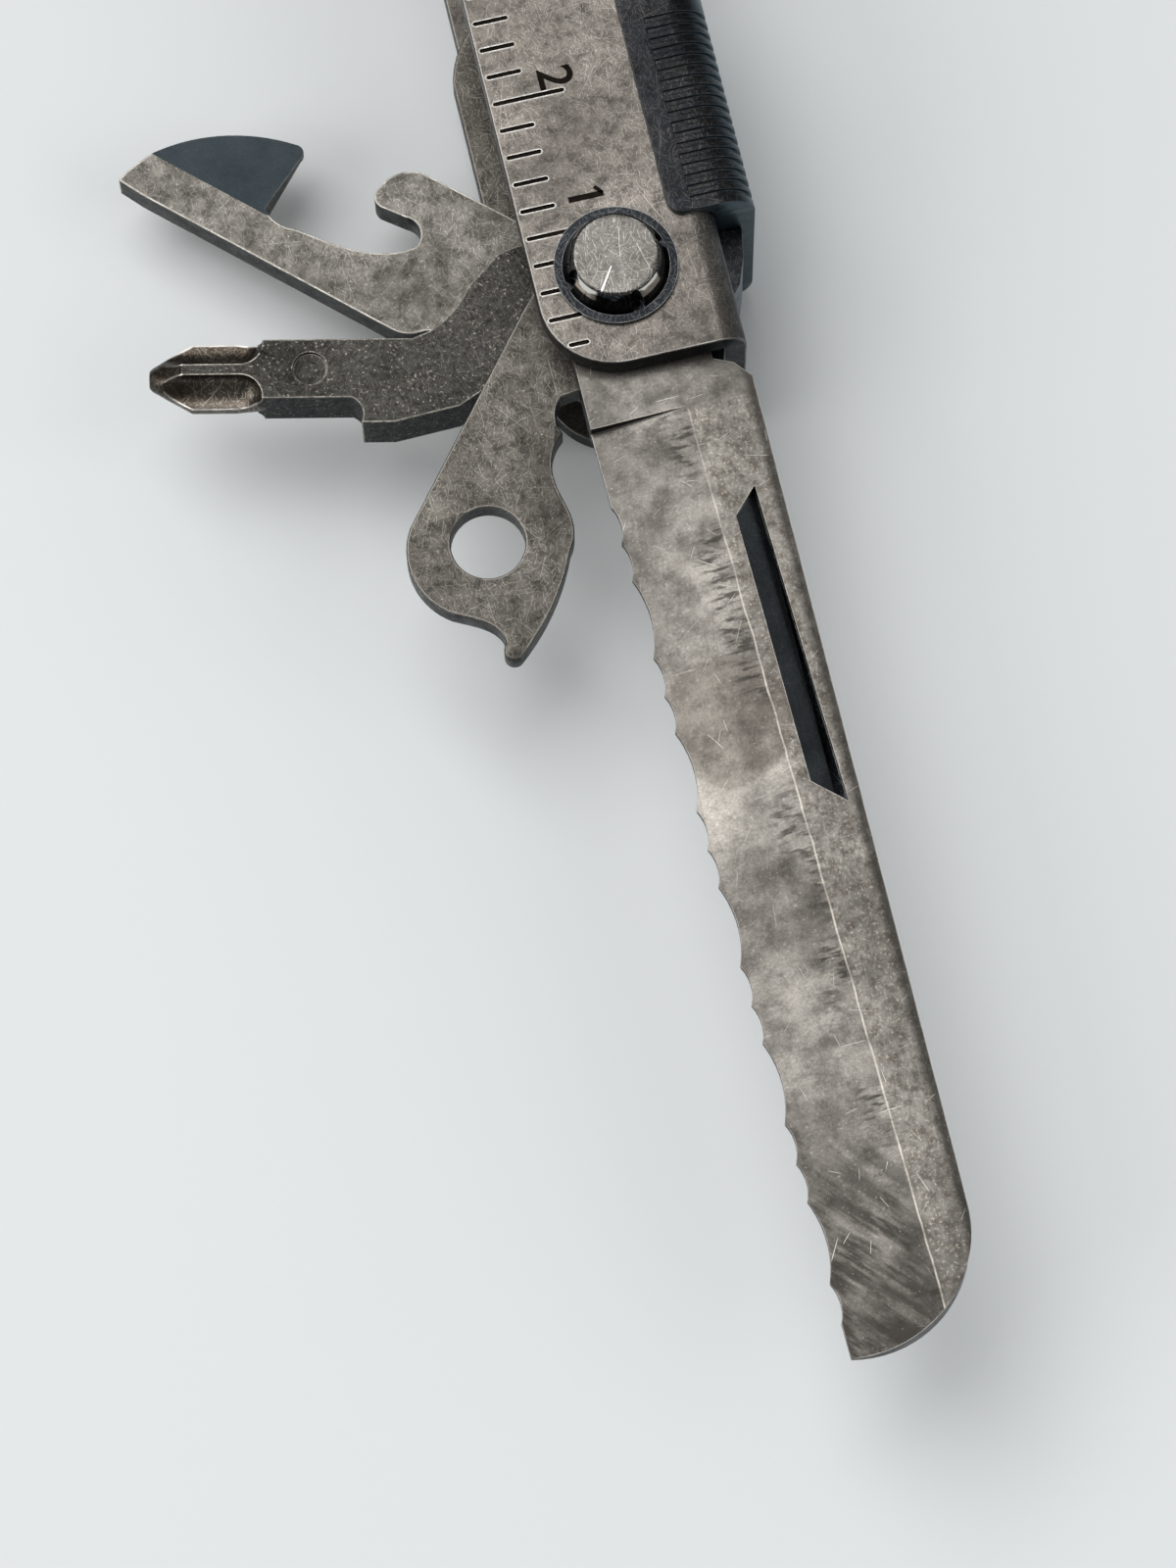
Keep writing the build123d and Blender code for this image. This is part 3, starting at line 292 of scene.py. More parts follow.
def bladeFrame(axle, along, across, spine):
    def addMarks(tree, place, steel):
        marks = bladeMarks
        offset = addNode(tree, "VectorMath", {"operation": "SUBTRACT", 1: tuple(axle / mm)}, {0: place})
        u = addNode(tree, "VectorMath", {"operation": "DOT_PRODUCT", 1: along}, {0: offset}, "Value")
        v = addNode(tree, "VectorMath", {"operation": "DOT_PRODUCT", 1: across}, {0: offset}, "Value")
        blade = addNode(tree, "CombineXYZ", links={0: u, 1: v})
        wave = addNode(tree, "TexNoise", {"Scale": marks["waveScale"], "Detail": 3}, {"Vector": blade})
        look = grindLine
        line = addNode(tree, "Math", {"operation": "MULTIPLY_ADD", 1: look["tilt"],
                                      2: look["start"] - look["tilt"] * marks["grindStart"]}, {0: u})
        line = addNode(tree, "Math", {"operation": "MULTIPLY_ADD", 1: look["wander"]}, {0: wave, 2: line})
        fromLine = addNode(tree, "Math", {"operation": "SUBTRACT"}, {0: v, 1: line})
        ground = addNode(tree, "MapRange", {1: marks["grindStart"] - marks["grindBlur"],
                                            2: marks["grindStart"] + marks["grindBlur"]}, {0: u})
        # rubbed palest half way along
        reach = addNode(tree, "Math", {"operation": "DIVIDE", 1: marks["length"]}, {0: u})
        rubbed = addNode(tree, "ValToRGB", {"stops": marks["rubbed"]}, {0: reach})
        rubbed = addNode(tree, "VectorMath", {"operation": "SCALE", "Scale": marks["rubbedMost"]},
                         {0: rubbed})
        steel = addNode(tree, "Mix", {"data_type": "RGBA", "blend_type": "MULTIPLY", 0: 1.0},
                        {6: steel, 7: rubbed}, 2)
        # paler behind the line, with pits and flecks
        look = behindLine
        low, high = look["from"]
        behind = addNode(tree, "MapRange", {1: low, 2: high, 3: 0.0, 4: 1.0}, {0: fromLine})
        behind = addNode(tree, "Math", {"operation": "MULTIPLY"}, {0: behind, 1: ground})
        pale = addNode(tree, "Math", {"operation": "MULTIPLY", 1: look["paleAmount"]}, {0: behind})
        steel = addNode(tree, "Mix", {"data_type": "RGBA", 7: sRGB(look["pale"])}, {0: pale, 6: steel}, 2)
        pit = addNode(tree, "TexNoise", {"Scale": look["pitScale"], "Detail": 5, "Roughness": 0.75},
                      {"Vector": blade})
        low, high = look["pitRange"]
        pit = addNode(tree, "MapRange", {1: low, 2: high, 3: 0.0, 4: look["pitAmount"]}, {0: pit})
        pit = addNode(tree, "Math", {"operation": "MULTIPLY"}, {0: pit, 1: behind})
        steel = addNode(tree, "Mix", {"data_type": "RGBA", 7: sRGB(look["pit"])}, {0: pit, 6: steel}, 2)
        fleck = addNode(tree, "TexNoise", {"Scale": look["fleckScale"], "Detail": 3, "Roughness": 0.7},
                        {"Vector": blade})
        low, high = look["fleckRange"]
        fleck = addNode(tree, "MapRange", {1: low, 2: high, 3: 0.0, 4: look["fleckAmount"]}, {0: fleck})
        fleck = addNode(tree, "Math", {"operation": "MULTIPLY"}, {0: fleck, 1: behind})
        steel = addNode(tree, "Mix", {"data_type": "RGBA", 7: sRGB(look["fleck"])}, {0: fleck, 6: steel}, 2)
        # the rounded spine, painted darker as the shade of its turn
        low, high = look["spineShadeReach"]
        shade = addNode(tree, "MapRange", {1: spine + low, 2: spine + high, 3: 0.0, 4: look["spineShadeAmount"]},
                        {0: v})
        steel = addNode(tree, "Mix", {"data_type": "RGBA", 7: sRGB(look["spine"])}, {0: shade, 6: steel}, 2)
        # smudges beside the line: noise drawn out across the blade, in a few groups
        look = smudges
        smear = addNode(tree, "Mapping", {"Scale": look["stretch"], "Rotation": look["turn"]}, {0: blade})
        smear = addNode(tree, "TexNoise", {"Scale": look["scale"], "Detail": 4, "Roughness": 0.6},
                        {"Vector": smear})
        low, high = look["range"]
        smear = addNode(tree, "MapRange", {1: low, 2: high, 3: 0.0, 4: look["amount"]}, {0: smear})
        band = addNode(tree, "Math", {"operation": "SUBTRACT", 1: look["middle"]}, {0: fromLine})
        band = addNode(tree, "Math", {"operation": "ABSOLUTE"}, {0: band})
        low, high = look["reach"]
        band = addNode(tree, "MapRange", {1: low, 2: high, 3: 0.0, 4: 1.0}, {0: band})
        groups = addNode(tree, "TexNoise", {"Scale": look["groupScale"], "Detail": 1}, {"Vector": blade})
        low, high = look["groupRange"]
        groups = addNode(tree, "MapRange", {1: low, 2: high, 3: 0.0, 4: 1.0}, {0: groups})
        for share in (band, groups, ground):
            smear = addNode(tree, "Math", {"operation": "MULTIPLY"}, {0: smear, 1: share})
        # oily streaks near the tip, slanting to the edge
        look = oilStreaks
        slant = addNode(tree, "Mapping", {"vector_type": "TEXTURE", "Scale": look["stretch"],
                                          "Rotation": (0, 0, math.radians(-look["turn"]))}, {0: blade})
        streak = addNode(tree, "TexNoise", {"Scale": look["scale"], "Detail": 4, "Roughness": 0.62},
                         {"Vector": slant})
        low, high = look["range"]
        streak = addNode(tree, "MapRange", {1: low, 2: high, 3: look["least"], 4: look["amount"]},
                         {0: streak})
        low, high = look["start"]
        tip = addNode(tree, "MapRange", {1: low, 2: high}, {0: u})
        low, high = look["side"]
        edgeSide = addNode(tree, "MapRange", {1: low, 2: high}, {0: fromLine})
        for share in (tip, edgeSide):
            streak = addNode(tree, "Math", {"operation": "MULTIPLY"}, {0: streak, 1: share})
        dark = addNode(tree, "Math", {"operation": "MAXIMUM"}, {0: smear, 1: streak})
        # rounded stain half way
        look = roundStain
        middle = addNode(tree, "VectorMath", {"operation": "DISTANCE", 1: look["place"]}, {0: blade}, "Value")
        middle = addNode(tree, "Math", {"operation": "MULTIPLY_ADD", 1: look["wander"]}, {0: wave, 2: middle})
        low, high = look["reach"]
        stain = addNode(tree, "MapRange", {1: low, 2: high, 3: 0.0, 4: look["amount"]}, {0: middle})
        steel = addNode(tree, "Mix", {"data_type": "RGBA", 7: sRGB(look["color"])}, {0: stain, 6: steel}, 2)
        steel = addNode(tree, "Mix", {"data_type": "RGBA", 7: sRGB(smudges["color"])}, {0: dark, 6: steel}, 2)
        # the pale line itself, fainter where the grind starts
        look = grindLine
        near = addNode(tree, "Math", {"operation": "ABSOLUTE"}, {0: fromLine})
        near = addNode(tree, "MapRange", {1: look["width"], 2: 0.0, 3: 0.0, 4: look["amount"]}, {0: near})
        broken = addNode(tree, "TexNoise", {"Scale": look["breakScale"], "Detail": 4, "Roughness": 0.7},
                         {"Vector": blade})
        low, high = look["breakRange"]
        broken = addNode(tree, "MapRange", {1: low, 2: high, 3: look["breakLeast"], 4: 1.0}, {0: broken})
        low, high = look["faint"]
        strong = addNode(tree, "MapRange", {1: low, 2: high, 3: look["faintest"], 4: 1.0}, {0: u})
        for share in (strong, broken, ground):
            near = addNode(tree, "Math", {"operation": "MULTIPLY"}, {0: near, 1: share})
        return addNode(tree, "Mix", {"data_type": "RGBA", 7: sRGB(look["color"])}, {0: near, 6: steel}, 2)
    return addMarks


# The axle nut: painted highlights on its side beside each spanner notch, and one gouge across its top.
nutMarks = {
    # where the nut's side is painted bright as highlights
    "highlightAngle": 32.0, "highlightHalf": 17.0, "highlightBlur": 4.0,  # degrees
    "highlightDeep": 0.95, "highlightFade": 0.08, "paintedHighlight": "#d9d5ce",  # mm below the top
    "gougeAngle": 237.0, "gouge": (0.9, 2.85), "gougeSlope": 0.024, "gougeColor": "#eeebe6",
}


def nutSideFrame(axle, turn):
    def addMarks(tree, place, steel):
        marks = nutMarks
        top = (axle.x / mm, axle.y / mm, rightNut[1].z / mm)
        offset = addNode(tree, "VectorMath", {"operation": "SUBTRACT", 1: top}, {0: place})
        below = addNode(tree, "SeparateXYZ", links={0: offset}, out="Z")
        around = addNode(tree, "VectorMath", {"operation": "MULTIPLY", 1: (1, 1, 0)}, {0: offset})
        around = addNode(tree, "VectorMath", {"operation": "NORMALIZE"}, {0: around})
        near = None
        for quarter in (0, 90):
            angle = math.radians(marks["highlightAngle"] + quarter) - turn
            one = addNode(tree, "VectorMath",
                          {"operation": "DOT_PRODUCT", 1: (math.cos(angle), math.sin(angle), 0)},
                          {0: around}, "Value")
            one = addNode(tree, "Math", {"operation": "ABSOLUTE"}, {0: one})
            near = addNode(tree, "Math", {"operation": "MAXIMUM"}, {0: near, 1: one}) if near else one
        inner = math.cos(math.radians(marks["highlightHalf"]))
        outer = math.cos(math.radians(marks["highlightHalf"] + marks["highlightBlur"]))
        # painted highlight on the upper side, beside each notch
        paintedHighlight = addNode(tree, "MapRange", {1: outer, 2: inner}, {0: near})
        high = addNode(tree, "MapRange", {1: -marks["highlightDeep"] - marks["highlightFade"], 2: -marks["highlightDeep"]},
                       {0: below})
        paintedHighlight = addNode(tree, "Math", {"operation": "MULTIPLY"}, {0: paintedHighlight, 1: high})
        return addNode(tree, "Mix", {"data_type": "RGBA", 7: sRGB(marks["paintedHighlight"])}, {0: paintedHighlight, 6: steel}, 2)
    return addMarks


def nutTopFrame(axle, turn):
    def addMarks(tree, place, steel):
        marks = nutMarks
        angle = math.radians(marks["gougeAngle"]) - turn
        offset = addNode(tree, "VectorMath", {"operation": "SUBTRACT", 1: tuple(axle / mm)}, {0: place})
        out = addNode(tree, "VectorMath",
                      {"operation": "DOT_PRODUCT", 1: (math.cos(angle), math.sin(angle), 0)},
                      {0: offset}, "Value")
        aside = addNode(tree, "VectorMath",
                        {"operation": "DOT_PRODUCT", 1: (-math.sin(angle), math.cos(angle), 0)},
                        {0: offset}, "Value")
        aside = addNode(tree, "Math", {"operation": "ABSOLUTE"}, {0: aside})
        half = addNode(tree, "Math", {"operation": "MULTIPLY", 1: marks["gougeSlope"]}, {0: out})
        inside = addNode(tree, "Math", {"operation": "LESS_THAN"}, {0: aside, 1: half})
        for end, way in zip(marks["gouge"], ("GREATER_THAN", "LESS_THAN")):
            part = addNode(tree, "Math", {"operation": way, 1: end}, {0: out})
            inside = addNode(tree, "Math", {"operation": "MULTIPLY"}, {0: inside, 1: part})
        return addNode(tree, "Mix", {"data_type": "RGBA", 7: sRGB(marks["gougeColor"])},
                       {0: inside, 6: steel}, 2)
    return addMarks


leftAlong = Vector((math.sin(leftTurn), math.cos(leftTurn), 0))  # up the left handle
leftSpine = Vector((-math.cos(leftTurn), math.sin(leftTurn), 0))  # from its axle to its spine
bladeSpine = (rightAxle.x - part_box("serrated_knife")[1].x) / mm  # across the blade, from its axle

# Folded sheet that hands rub. Warm grey with bright corners, and a painted blue black reflection round the
# bend.
handleSteel = makeWornSteel("stainlessHandleWornBlackOxide", variant(
    bare="#e6e3dd", edgeWidth=0.28, edgeAmount=1.0, stainAmount=0.65, scratchAmount=0.26, speckAmount=0.25,
    side="#141d23", sideFrom=0.5, topFrom=0.995))
# Ground blades. Smoother and greyer than the rest, with few scratches.
bladeLook = variant(
    dark="#45423e", light="#7c7872", stain="#37332f", stainAmount=0.5, cloudSize=9.0, mottleSize=2.0,
    speckAmount=0.18, scratches=[(3.6, 0.9, 0.035, 7.7), (6.5, 1.6, 0.045, 2.2)], scratchAmount=0.5,
    scratchLeast=0.0, edgeWidth=0.12, edgeAmount=0.6, roughLow=0.3, roughHigh=0.46)
serratedSteel = makeWornSteel("stainlessSerratedBladeGround", bladeLook,
                              bladeFrame(rightAxle, (0, -1, 0), (-1, 0, 0), bladeSpine))
plainSteel = makeWornSteel("stainlessPlainBladeGround", bladeLook,
                           bladeFrame(leftAxle, tuple(leftAlong), tuple(leftSpine), bladeSpine))
# Stamped tools that are folded away most of the time. Dark, with a web of scratches.
toolSteel = makeWornSteel("stainlessStampedWornBlackOxide", variant(
    dark="#403d39", light="#67635c", stain="#292623", bare="#cbc6bd", stainAmount=0.65, edgeWidth=0.34,
    scratchAmount=0.25))
# The stamped tool that is used most. The same, but paler.
openerSteel = makeWornSteel("stainlessStampedRubbed", variant(
    dark="#55524d", light="#7c7871", stain="#35322e", bare="#d6d1c8", stainAmount=0.65, edgeWidth=0.34,
    scratchAmount=0.27))
# Investment castings under oxide. Dark and grainy, with pale specks on the high spots.
castSteel = makeWornSteel("steelCastBlackOxide", variant(
    dark="#33322f", light="#504e4a", stain="#232220", bare="#b4aea4", mottleSize=0.5, grainSize=0.2,
    speckFrom=0.63, speckAmount=0.4, scratchAmount=0.22, bump=0.6, grainBump=1.2, roughLow=0.4,
    roughHigh=0.6))
# The cast point that screws rub. Brown in the flutes and bright on the ridges.
pointSteel = makeWornSteel("steelCastPointRubbed", variant(
    dark="#383028", light="#6a6259", stain="#241d17", bare="#d8d3ca", mottleSize=0.8, edgeWidth=0.3,
    speckFrom=0.66, edgeAmount=1.0, edgeLeast=0.6, roughLow=0.24, roughHigh=0.4, sideAmount=0.35))
# Injection-moulded steel under whole oxide. Blue black, with crests that thumbs rub brown, and upright faces
# painted a paler blue grey as a painted reflection.
blackSteel = makeWornSteel("steelMouldedBlackOxide", variant(
    dark="#1f2124", light="#313235", stain="#171819", side="#46565e", bare="#a39a8d", speckAmount=0.15,
    scratchAmount=0.15, edgeAmount=0.85, edgeWidth=0.13, edgeLeast=0.25, roughLow=0.32, roughHigh=0.46))
# Turned steel. Nearly bare on top, with long scratches that cross.
nutLook = variant(
    dark="#4b4844", light="#6b6864", stain="#35322f", side="#131517", stainAmount=0.4, bare="#d2cfc8",
    mottleSize=0.8, scratches=[(0.7, 0.8, 0.03, 0.0), (0.45, 0.5, 0.025, 3.1), (2.6, 2.6, 0.045, 5.3)],
    scratchAmount=0.4, scratchLeast=0.3, edgeWidth=0.16, roughLow=0.2, roughHigh=0.34, sideAmount=0.95)
nutSteel = makeWornSteel("steelTurnedScratched", nutLook)
rightNutSteel = makeWornSteel("steelTurnedScratchedRight", nutLook, nutTopFrame(rightAxle, 0))
leftNutSteel = makeWornSteel("steelTurnedScratchedLeft", nutLook, nutTopFrame(leftAxle, leftTurn))
# Drawn spring steel, as bought. Pale and smooth.
springSteel = makeWornSteel("springSteelDrawn", variant(
    dark="#6a6660", light="#8d8880", sideAmount=0.3, bump=0.1))
# The opener's cutting slope, ground fine. Smooth blue grey.
smoothSteel = makeWornSteel("stainlessSmoothGrind", variant(
    dark="#66737a", light="#808b90", stain="#525d63", side="#20262a", bare="#aeb4b6", stainAmount=0.25,
    cloudSize=5.0, grainAmount=0.06, speckAmount=0.08, scratchAmount=0.1, edgeWidth=0.14, edgeAmount=0.7,
    roughLow=0.24, roughHigh=0.34, bump=0.12, sideAmount=0.9))
# The slope of the nail nick, ground but never rubbed. Smooth dark grey.
nickSteel = makeWornSteel("stainlessNickGround", variant(
    dark="#3d4042", light="#585c5e", stain="#2e3133", side="#1c1e20", bare="#c2c0ba", stainAmount=0.3,
    cloudSize=4.0, grainAmount=0.06, speckAmount=0.08, scratchAmount=0.08, edgeWidth=0.2, edgeAmount=0.9,
    roughLow=0.22, roughHigh=0.32, bump=0.12, sideAmount=0.9))
# The nut's side and flange, which nothing rubs: deep glossy black. The nick's floor takes the same black as
# painted shade in its recess.
glossLook = variant(
    dark="#121315", light="#222426", stain="#0d0e0f", side="#303336", bare="#c4c6c6", speckAmount=0.05,
    scratchAmount=0.08, edgeAmount=0.45, edgeWidth=0.07, roughLow=0.1, roughHigh=0.18, bump=0.1,
    sideAmount=0.0)
nickFloorShade = makeWornSteel("steelNickFloorPaintedShade", glossLook)
# The nut's side, with painted highlights beside its notches.
rightNutGloss = makeWornSteel("steelTurnedGlossBlackOxidePaintedHighlightsRight", glossLook, nutSideFrame(rightAxle, 0))
leftNutGloss = makeWornSteel("steelTurnedGlossBlackOxidePaintedHighlightsLeft", glossLook, nutSideFrame(leftAxle, leftTurn))
# Oxide left in the engraved marks. Matt and nearly black.
engravedOxide = makeWornSteel("oxideInEngraving", variant(
    dark="#171412", light="#241f1b", stain="#0f0d0c", bare="#4a443e", scratchAmount=0.1, edgeAmount=0.0,
    speckAmount=0.1, roughLow=0.5, roughHigh=0.7))
print("materials made")


edgeRule = {
    "merge": 0.002,  # mm
    "flatWithin": 0.6,  # degrees between faces that are one flat
    "round": 28,  # degrees from which an edge is rounded over
    "crease": 2.5,  # degrees from which two wide flats meet in a crisp line
    "wide": 0.9,  # mm, the least width of such a flat
    "crisp": 40,  # degrees from which any edge stays crisp
    "segments": 2,
}


def faceWidth(face):
    return face.calc_area() / max(edge.calc_length() for edge in face.edges)


# Makes an object of the bmesh, which is used up.
def addPiece(name, shape, materials):
    mesh = bpy.data.meshes.new(name)
    shape.to_mesh(mesh)
    shape.free()
    for material in materials:
        mesh.materials.append(material)
    piece = bpy.data.objects.new(name, mesh)
    bpy.context.scene.collection.objects.link(piece)
    return piece


# A copy of a CAD piece with its edges rounded over, as tumbling leaves them. The other
# materials go on the faces that their rules choose, and those faces keep their own edges.
def softenEdges(nodeName, width, material, others=()):
    node = frame["nodes"][nodeName]
    rule = edgeRule
    shape = bmesh.new()
    shape.from_mesh(node.data)
    bmesh.ops.remove_doubles(shape, verts=shape.verts, dist=rule["merge"] * mm)
    bmesh.ops.dissolve_limit(shape, angle_limit=math.radians(rule["flatWithin"]), verts=shape.verts,
                             edges=shape.edges)
    bmesh.ops.dissolve_degenerate(shape, edges=shape.edges, dist=rule["merge"] * mm)
    for face in shape.faces:
        face.smooth = True
        face.material_index = 0
        for number, (other, chooses) in enumerate(others):
            if chooses(face):
                face.material_index = number + 1
    roundOver = []
    for edge in shape.edges:
        if len(edge.link_faces) != 2:
            continue
        turn = math.degrees(edge.calc_face_angle(0))
        first, second = edge.link_faces
        narrower = min(faceWidth(first), faceWidth(second))
        if turn > rule["round"] and first.material_index == second.material_index == 0:
            roundOver.append(edge)
        elif turn > rule["crisp"] or (turn > rule["crease"] and narrower > rule["wide"] * mm):
            edge.smooth = False
    bmesh.ops.bevel(shape, geom=roundOver, offset=width * mm, offset_type="OFFSET", affect="EDGES",
                    segments=rule["segments"], profile=0.5, material=-1, clamp_overlap=True)
    bmesh.ops.triangulate(shape, faces=[face for face in shape.faces if len(face.verts) > 4])
    piece = addPiece(nodeName + "_rounded", shape, [material] + [other for other, chooses in others])
    weighted = piece.modifiers.new("flatFacesStayFlat", "WEIGHTED_NORMAL")
    weighted.keep_sharp = True
    weighted.weight = 100
    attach(piece, node["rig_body"])
    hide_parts(nodeName)
    return piece


# Where the faces with a finish of their own are, in mm below the top of the piece. A
# normal is 0 on an upright face and 1 on a level one.
faceRules = {
    "engraved": (0.1, 0.13), "engravedWall": 0.1,
    "nick": (0.01, 0.9), "nickDeepest": 0.85, "nickDeepEnough": 0.3, "nickWidth": 0.3, "nickNormal": -0.05,
    "nickFloor": (0.7, 0.9), "nickFloorNormal": 0.99,
    "grindNormal": (0.5, 0.97), "grindArea": 2.0,  # mm2
    "nutTop": 0.16,
    "point": 24.2,  # mm from the axle
}


def inEngraving(face):
    heights = [vert.co.z for vert in face.verts]
    high, low = (faceLevel - depth * mm for depth in faceRules["engraved"])
    if not low <= min(heights) <= high:
        return False
    return max(heights) < high or abs(face.normal.z) < faceRules["engravedWall"]


def inNick(nodeName):
    rule = faceRules
    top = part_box(nodeName)[1].z
    high, low = (top - depth * mm for depth in rule["nick"])

    def chooses(face):
        heights = [vert.co.z for vert in face.verts]
        return (low < face.calc_center_median().z < high and min(heights) > top - rule["nickDeepest"] * mm
                and min(heights) < top - rule["nickDeepEnough"] * mm
                and faceWidth(face) > rule["nickWidth"] * mm and face.normal.z > rule["nickNormal"])
    return chooses


def inNickFloor(nodeName):
    high, low = (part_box(nodeName)[1].z - depth * mm for depth in faceRules["nickFloor"])
    return lambda face: (face.normal.z > faceRules["nickFloorNormal"]
                         and low < face.calc_center_median().z < high)


def onOpenerGrind(face):
    low, high = faceRules["grindNormal"]
    return low < face.normal.z < high and face.calc_area() > faceRules["grindArea"] * mm * mm


def onNutSide(face):
    return face.calc_center_median().z < rightNut[1].z - faceRules["nutTop"] * mm


def onPoint(face):
    return all((vert.co - rightAxle).xy.length > faceRules["point"] * mm for vert in face.verts)


# For each piece: the width of its rounded edges in mm, its material, and the others it has.
finishes = {
    "right_handle": (0.08, handleSteel, [(engravedOxide, inEngraving)]),
    "left_handle": (0.08, handleSteel, [(engravedOxide, inEngraving)]),
    # the nicks' floors take a black that is painted shade
    "serrated_knife": (0.05, serratedSteel, [(nickSteel, inNick("serrated_knife")),
                                             (nickFloorShade, inNickFloor("serrated_knife"))]),
    "plain_knife": (0.05, plainSteel, [(nickSteel, inNick("plain_knife")),
                                       (nickFloorShade, inNickFloor("plain_knife"))]),
    "wood_metal_file": (0.06, toolSteel), "lanyard_hook": (0.16, toolSteel),
    "can_opener": (0.14, openerSteel, [(smoothSteel, onOpenerGrind)]),
    "medium_flat_driver": (0.1, toolSteel), "large_flat_driver": (0.12, toolSteel),
    "small_flat_driver": (0.1, toolSteel),
    "phillips_driver": (0.16, castSteel, [(pointSteel, onPoint)]),
    "right_jaw": (0.12, castSteel), "left_jaw": (0.12, castSteel),
    "right_axle_nut": (0.05, rightNutSteel, [(rightNutGloss, onNutSide)]),
    "left_axle_nut": (0.05, leftNutSteel, [(leftNutGloss, onNutSide)]),
    "right_lock_slider": (0.05, blackSteel), "left_lock_slider": (0.05, blackSteel),
    "right_lock_plate": (0.1, blackSteel), "left_lock_plate": (0.1, blackSteel),
    "right_release_button": (0.08, blackSteel), "left_release_button": (0.08, blackSteel),
    "plier_pivot": (0.1, nutSteel), "tool_spacer": (0.06, toolSteel),
    "right_tool_axle": (0.06, nutSteel), "left_tool_axle": (0.06, nutSteel),
    "right_head_carriage": (0.1, castSteel), "left_head_carriage": (0.1, castSteel),
}
for nodeName, finish in finishes.items():
    piece = softenEdges(nodeName, *finish)
    print(nodeName, len(piece.data.polygons), "faces")
# The other pieces stay as they are in the CAD.
plainFinishes = {"spring": springSteel, "washers": springSteel, "pins": nutSteel}
for nodeName, node in frame["nodes"].items():
    for word, material in plainFinishes.items():
        if word in nodeName:
            node.data.materials.clear()
            node.data.materials.append(material)
print("plain pieces given their materials")


rulerNumbers = {
    "height": 2.4, "depth": 0.02, "sunk": 0.1,  # mm, and the share of the depth that is in the handle
    "across": -0.8,  # middle of a number, from the axle line
    "firstMark": 3.25, "step": 10.0, "count": 10,
    "gap": 1.0, "firstGap": 2.1,  # number's middle past its mark
    "extrude": 0.01, "bolder": 0.012, "merge": 1e-5,  # before it is scaled
    # the flag at the top of the 1, in heights of a number
    "flagPlace": (-0.13, 0.38), "flagTurn": 38, "flagSize": (0.3, 0.11),
}


# One number, upright and centred on the origin.
def makeNumber(number, look):
    curve = bpy.data.curves.new("number", "FONT")
    curve.body = str(number)
    curve.extrude = look["extrude"]
    curve.offset = look["bolder"]
    text = bpy.data.objects.new("number", curve)
    bpy.context.scene.collection.objects.link(text)
    mesh = bpy.data.meshes.new_from_object(text)
    bpy.data.objects.remove(text)
    shape = bmesh.new()
    shape.from_mesh(mesh)
    bmesh.ops.remove_doubles(shape, verts=shape.verts, dist=look["merge"])
    low = Vector([min(vert.co[axis] for vert in shape.verts) for axis in range(3)])
    high = Vector([max(vert.co[axis] for vert in shape.verts) for axis in range(3)])
    bmesh.ops.translate(shape, verts=shape.verts, vec=-(low + high) / 2)
    tall, deep = high.y - low.y, high.z - low.z
    if number == 1:
        flag = bmesh.ops.create_cube(shape, size=1)["verts"]
        x, y = (tall * share for share in look["flagPlace"])
        wide, thick = (tall * share for share in look["flagSize"])
        turn = Matrix.Rotation(math.radians(look["flagTurn"]), 4, "Z")
        place = Matrix.Translation((x, y, 0)) @ turn @ Matrix.Diagonal((wide, thick, deep, 1))
        bmesh.ops.transform(shape, matrix=place, verts=flag)
    size = look["height"] / tall * mm
    bmesh.ops.scale(shape, verts=shape.verts, vec=(size, size, look["depth"] * mm / deep))
    return shape


def makeNumbers(name, look, axle, along, spine, body):
    shape = bmesh.new()
    up = Vector((0, 0, 1))
    # the top of a number points to the spine, so it reads along the handle
    turn = Matrix((spine.cross(up), spine, up)).transposed().to_4x4()
    for number in range(1, look["count"] + 1):
        one = makeNumber(number, look)
        gap = look["firstGap"] if number == 1 else look["gap"]
        place = (look["firstMark"] + (number - 1) * look["step"] + gap) * mm
        middle = axle + along * place + spine * look["across"] * mm
        middle.z = faceLevel + (0.5 - look["sunk"]) * look["depth"] * mm
        bmesh.ops.transform(one, matrix=Matrix.Translation(middle) @ turn, verts=one.verts)
        placed = bpy.data.meshes.new("placed")
        one.to_mesh(placed)
        one.free()
        shape.from_mesh(placed)
    bmesh.ops.recalc_face_normals(shape, faces=shape.faces)
    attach(addPiece(name, shape, [engravedOxide]), body)


makeNumbers("right_ruler_numbers", rulerNumbers, rightAxle, Vector((0, 1, 0)), Vector((1, 0, 0)),
            "right_frame")
makeNumbers("left_ruler_numbers", rulerNumbers, leftAxle, leftAlong, leftSpine, "left_frame")
print("ruler numbers made")

# Slanting ridges on both faces of the file, a coarse cut above and a fine one below.
fileTeeth = {
    "start": 27.0, "end": 66.6, "middle": -1.2, "half": 4.35,  # mm, in the file's own frame
    "height": 0.09, "turn": 28, "cuts": [(1.1, 1), (0.6, -1)],  # pitch, side
    "crest": 0.35, "foot": 0.75,  # share of the foot, and of the pitch
    "length": 3, "merge": 1e-6,  # the ridges' length before they are trimmed, in halves
}


